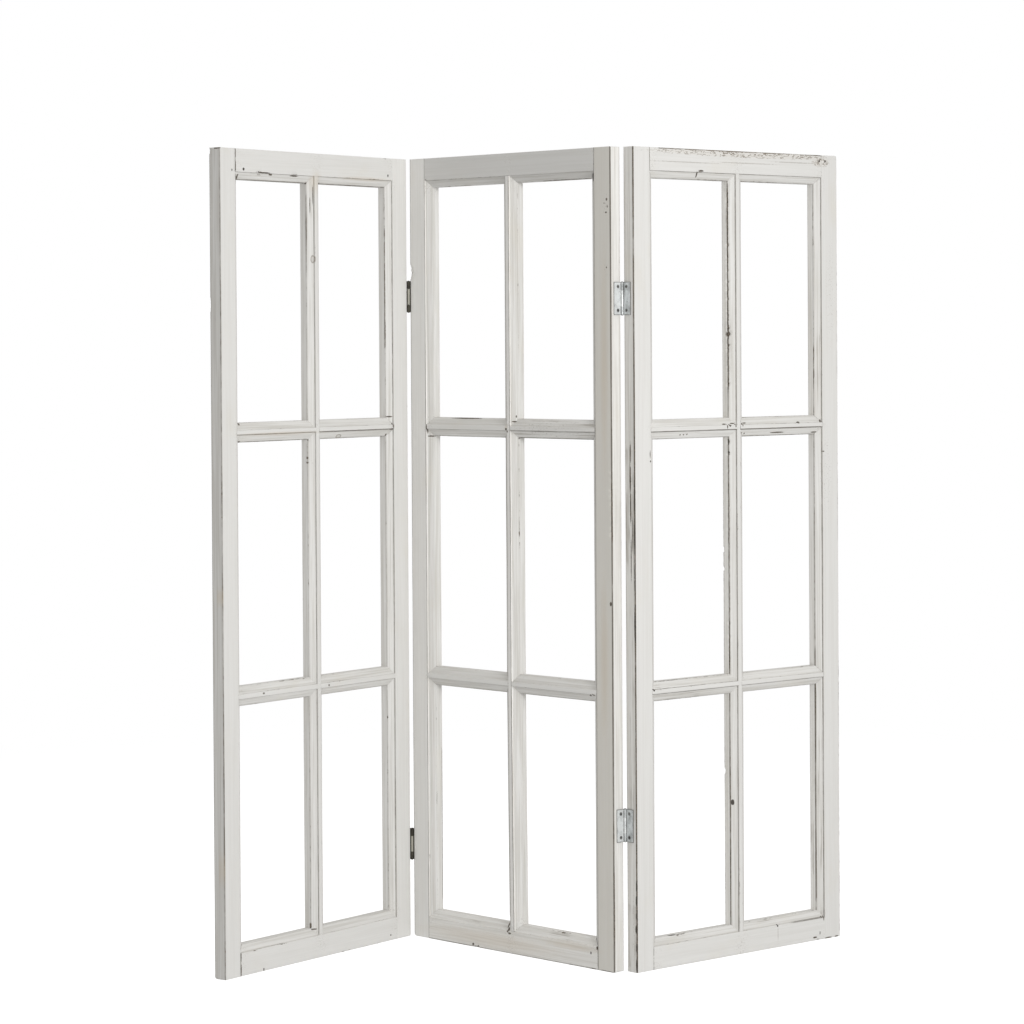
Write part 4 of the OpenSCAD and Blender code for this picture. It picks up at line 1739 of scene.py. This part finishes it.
@dataclass(frozen=True)
class Hinges:
    """The four butt hinges with their pins and screws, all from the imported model.

    Edges sharper than sharp degrees are eased, by so many metres in so many steps.
    """

    ease: float = 0.00025
    steps: int = 2
    sharp: float = 40.0

    def finishes(self) -> dict[str, bpy.types.Material]:
        """Make a finish for each group of metal parts, by a part of the node's name.

        Returns:
            The materials, the narrowest names first.
        """
        # The left hinge sits in the shade of the fold, so its plating is dark as painted shade, and its
        # tongue knuckles carry a painted highlight band.
        shaded_plating = ZincPlate("brown plating", (0.075, 0.07, 0.052), (0.028, 0.025, 0.02), shine=0.5)
        highlit_knuckle = replace(shaded_plating, name="rubbed plating", open=0.86, rubbed=(0.42, 0.41, 0.35)).make()
        return {
            "left_hinge_upper_tongue": highlit_knuckle,
            "left_hinge_lower_tongue": highlit_knuckle,
            "left_hinge": shaded_plating.make(),
            # The fork and tongue leaves face different ways: their grey and bright platings are painted
            # shade and painted light, each with a painted shadow along its edges.
            "fork": ZincPlate("grey plating", (0.66, 0.685, 0.69), (0.42, 0.44, 0.44), rim_shadow=0.7).make(),
            "tongue": ZincPlate("bright plating", (0.87, 0.89, 0.885), (0.66, 0.68, 0.68), rim_shadow=0.7).make(),
            "pin": ZincPlate("dull pin", (0.25, 0.25, 0.25), (0.08, 0.08, 0.08), metal=0.7).make(),
            "screws": ZincPlate("dark screws", (0.26, 0.26, 0.25), (0.10, 0.10, 0.10)).make(),
        }

    def dress(self, nodes: dict[str, bpy.types.Object]) -> None:
        """Ease the edges of every metal node and plate it.

        Args:
            nodes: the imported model's nodes.
        """
        finishes = self.finishes()
        for name, node in sorted(nodes.items()):
            if "hinge" not in name and "screws" not in name:
                continue
            finish = next(made for part, made in finishes.items() if part in name)
            if node.data.materials:
                for slot in range(len(node.data.materials)):
                    node.data.materials[slot] = finish
            else:
                node.data.materials.append(finish)
            bevel = node.modifiers.new("eased edges", "BEVEL")
            bevel.width = self.ease
            bevel.segments = self.steps
            bevel.limit_method = "ANGLE"
            bevel.angle_limit = math.radians(self.sharp)
            log.info("%s: plated", name)


# Studio

@dataclass(frozen=True)
class Studio:
    """A pale floor under soft light, and the camera of the photograph.

    sky is the fill light's strength at the horizon and overhead. floor_white is how bright
    the floor looks to the camera, and floor_glow what it gives back to the timber.
    """

    eye: Triple = (-0.0466, -6.8963, 1.301)
    lens: float = 114.65
    tip: float = -0.01302
    roll: float = -0.00602
    shift: float = -0.1251
    white: float = 1.0
    sky: tuple[float, float] = (0.30, 0.97)
    sky_tint: Colour = (1.0, 0.99, 0.97)
    floor_tone: float = 0.33
    floor_white: float = 0.9
    floor_glow: float = 0.45
    floor_rings: tuple[float, ...] = (1.0, 2.0, 4.0, 8.0, 16.0, 40.0)
    floor_sides: int = 64
    key_place: Triple = (2.75, -4.75, 2.1)
    key_aim: Triple = (-0.35, 0.0, 1.42)
    key_size: float = 1.6
    key_power: float = 33.9
    key_spread: float = 90.0

    def camera(self) -> None:
        """Set the camera where the photograph was taken from."""
        data = bpy.data.cameras.new("camera")
        data.sensor_width = 36.0
        data.lens = self.lens
        data.shift_y = self.shift
        data.clip_end = 100.0
        made = put("camera", data)
        aim = Matrix.Rotation(math.radians(90) + self.tip, 4, "X")
        made.matrix_world = Matrix.Translation(self.eye) @ aim @ Matrix.Rotation(self.roll, 4, "Z")
        bpy.context.scene.camera = made

    def floor(self) -> None:
        """Lay the pale floor, which fades into the white of the background."""
        sides = self.floor_sides
        turns = [2 * math.pi * k / sides for k in range(sides)]
        points = [(0.0, 0.0, 0.0)]
        points += [(r * math.cos(t), r * math.sin(t), 0.0) for r in self.floor_rings for t in turns]
        faces = [(0, 1 + k, 1 + (k + 1) % sides) for k in range(sides)]
        faces += bands(1, len(self.floor_rings) - 1, sides)
        mesh = bpy.data.meshes.new("floor")
        mesh.from_pydata(points, [], faces)
        made = put("floor", mesh)
        bench = Bench.material("studio floor")
        where = bench.node("ShaderNodeTexCoord", {}, output="Object")
        away = bench.node("ShaderNodeVectorMath", {"operation": "LENGTH"}, {0: where}, "Value")
        mottle = bench.noise(bench.stretch(where, (3.0, 3.0, 3.0)), 3.0)
        colour = bench.blend(mottle, (self.floor_tone,) * 3, (self.floor_tone - 0.01,) * 3)
        paper = bench.node("ShaderNodeBsdfDiffuse", {}, {"Color": colour})
        seen = bench.node("ShaderNodeLightPath", {}, {}, "Is Camera Ray")
        glow = away.step(2.0, 8.0, self.floor_glow, self.floor_glow * 0.6)
        strength = seen * (self.floor_white - glow) + glow
        lift = bench.node("ShaderNodeEmission", {}, {"Color": WHITE, "Strength": strength})
        lifted = bench.node("ShaderNodeAddShader", {}, {0: paper, 1: lift})
        plain = bench.node("ShaderNodeEmission", {}, {"Color": WHITE, "Strength": self.white})
        fade = away.step(1.2, 4.0) * seen
        mixed = bench.node("ShaderNodeMixShader", {}, {0: fade, 1: lifted, 2: plain})
        bench.node("ShaderNodeOutputMaterial", {}, {"Surface": mixed})
        mesh.materials.append(bench.owner)

    def background(self) -> None:
        """White to the eye, with a dimmer glow as fill light that grows overhead."""
        world = bpy.data.worlds.new("studio")
        bpy.context.scene.world = world
        bench = Bench(world)
        seen = bench.node("ShaderNodeLightPath", {}, {}, "Is Camera Ray")
        where = bench.node("ShaderNodeTexCoord", {}, output="Generated")
        rise = bench.node("ShaderNodeSeparateXYZ", {}, {0: where}, "Z").highest(0.0)
        strength = rise * (self.sky[1] - self.sky[0]) + self.sky[0]
        fill = bench.node("ShaderNodeBackground", {}, {"Color": (*self.sky_tint, 1), "Strength": strength})
        plain = bench.node("ShaderNodeBackground", {}, {"Color": WHITE, "Strength": self.white})
        mixed = bench.node("ShaderNodeMixShader", {}, {0: seen, 1: fill, 2: plain})
        bench.node("ShaderNodeOutputWorld", {}, {"Surface": mixed})

    def key(self) -> None:
        """Hang one broad soft light to the right of the camera."""
        data = bpy.data.lights.new("key", "AREA")
        data.shape = "DISK"
        data.size = self.key_size
        data.energy = self.key_power
        data.spread = math.radians(self.key_spread)
        made = put("key", data)
        made.location = self.key_place
        back = Vector(self.key_place) - Vector(self.key_aim)
        made.rotation_euler = back.to_track_quat("Z", "Y").to_euler()
        made.visible_camera = False

    def build(self) -> None:
        """Set the studio up."""
        self.camera()
        self.floor()
        self.background()
        self.key()
        bpy.context.scene.view_settings.view_transform = "Standard"


def main() -> None:
    """Build the studio, the three panels and the hinges."""
    logging.basicConfig(level=logging.INFO, format="%(name)s: %(message)s")
    Studio().build()
    timber = Timber()
    places = Fold().places(frame["joints"])
    histories = {"left": LEFT_HISTORY, "middle": MIDDLE_HISTORY, "right": RIGHT_HISTORY}
    for number, ((name, history), place) in enumerate(zip(histories.items(), places)):
        Panel(name, f"{name}_panel", place, timber, PANEL_SEEDS * (number + 1), history).build()
    Hinges().dress(frame["nodes"])


if __name__ == "__main__":
    main()
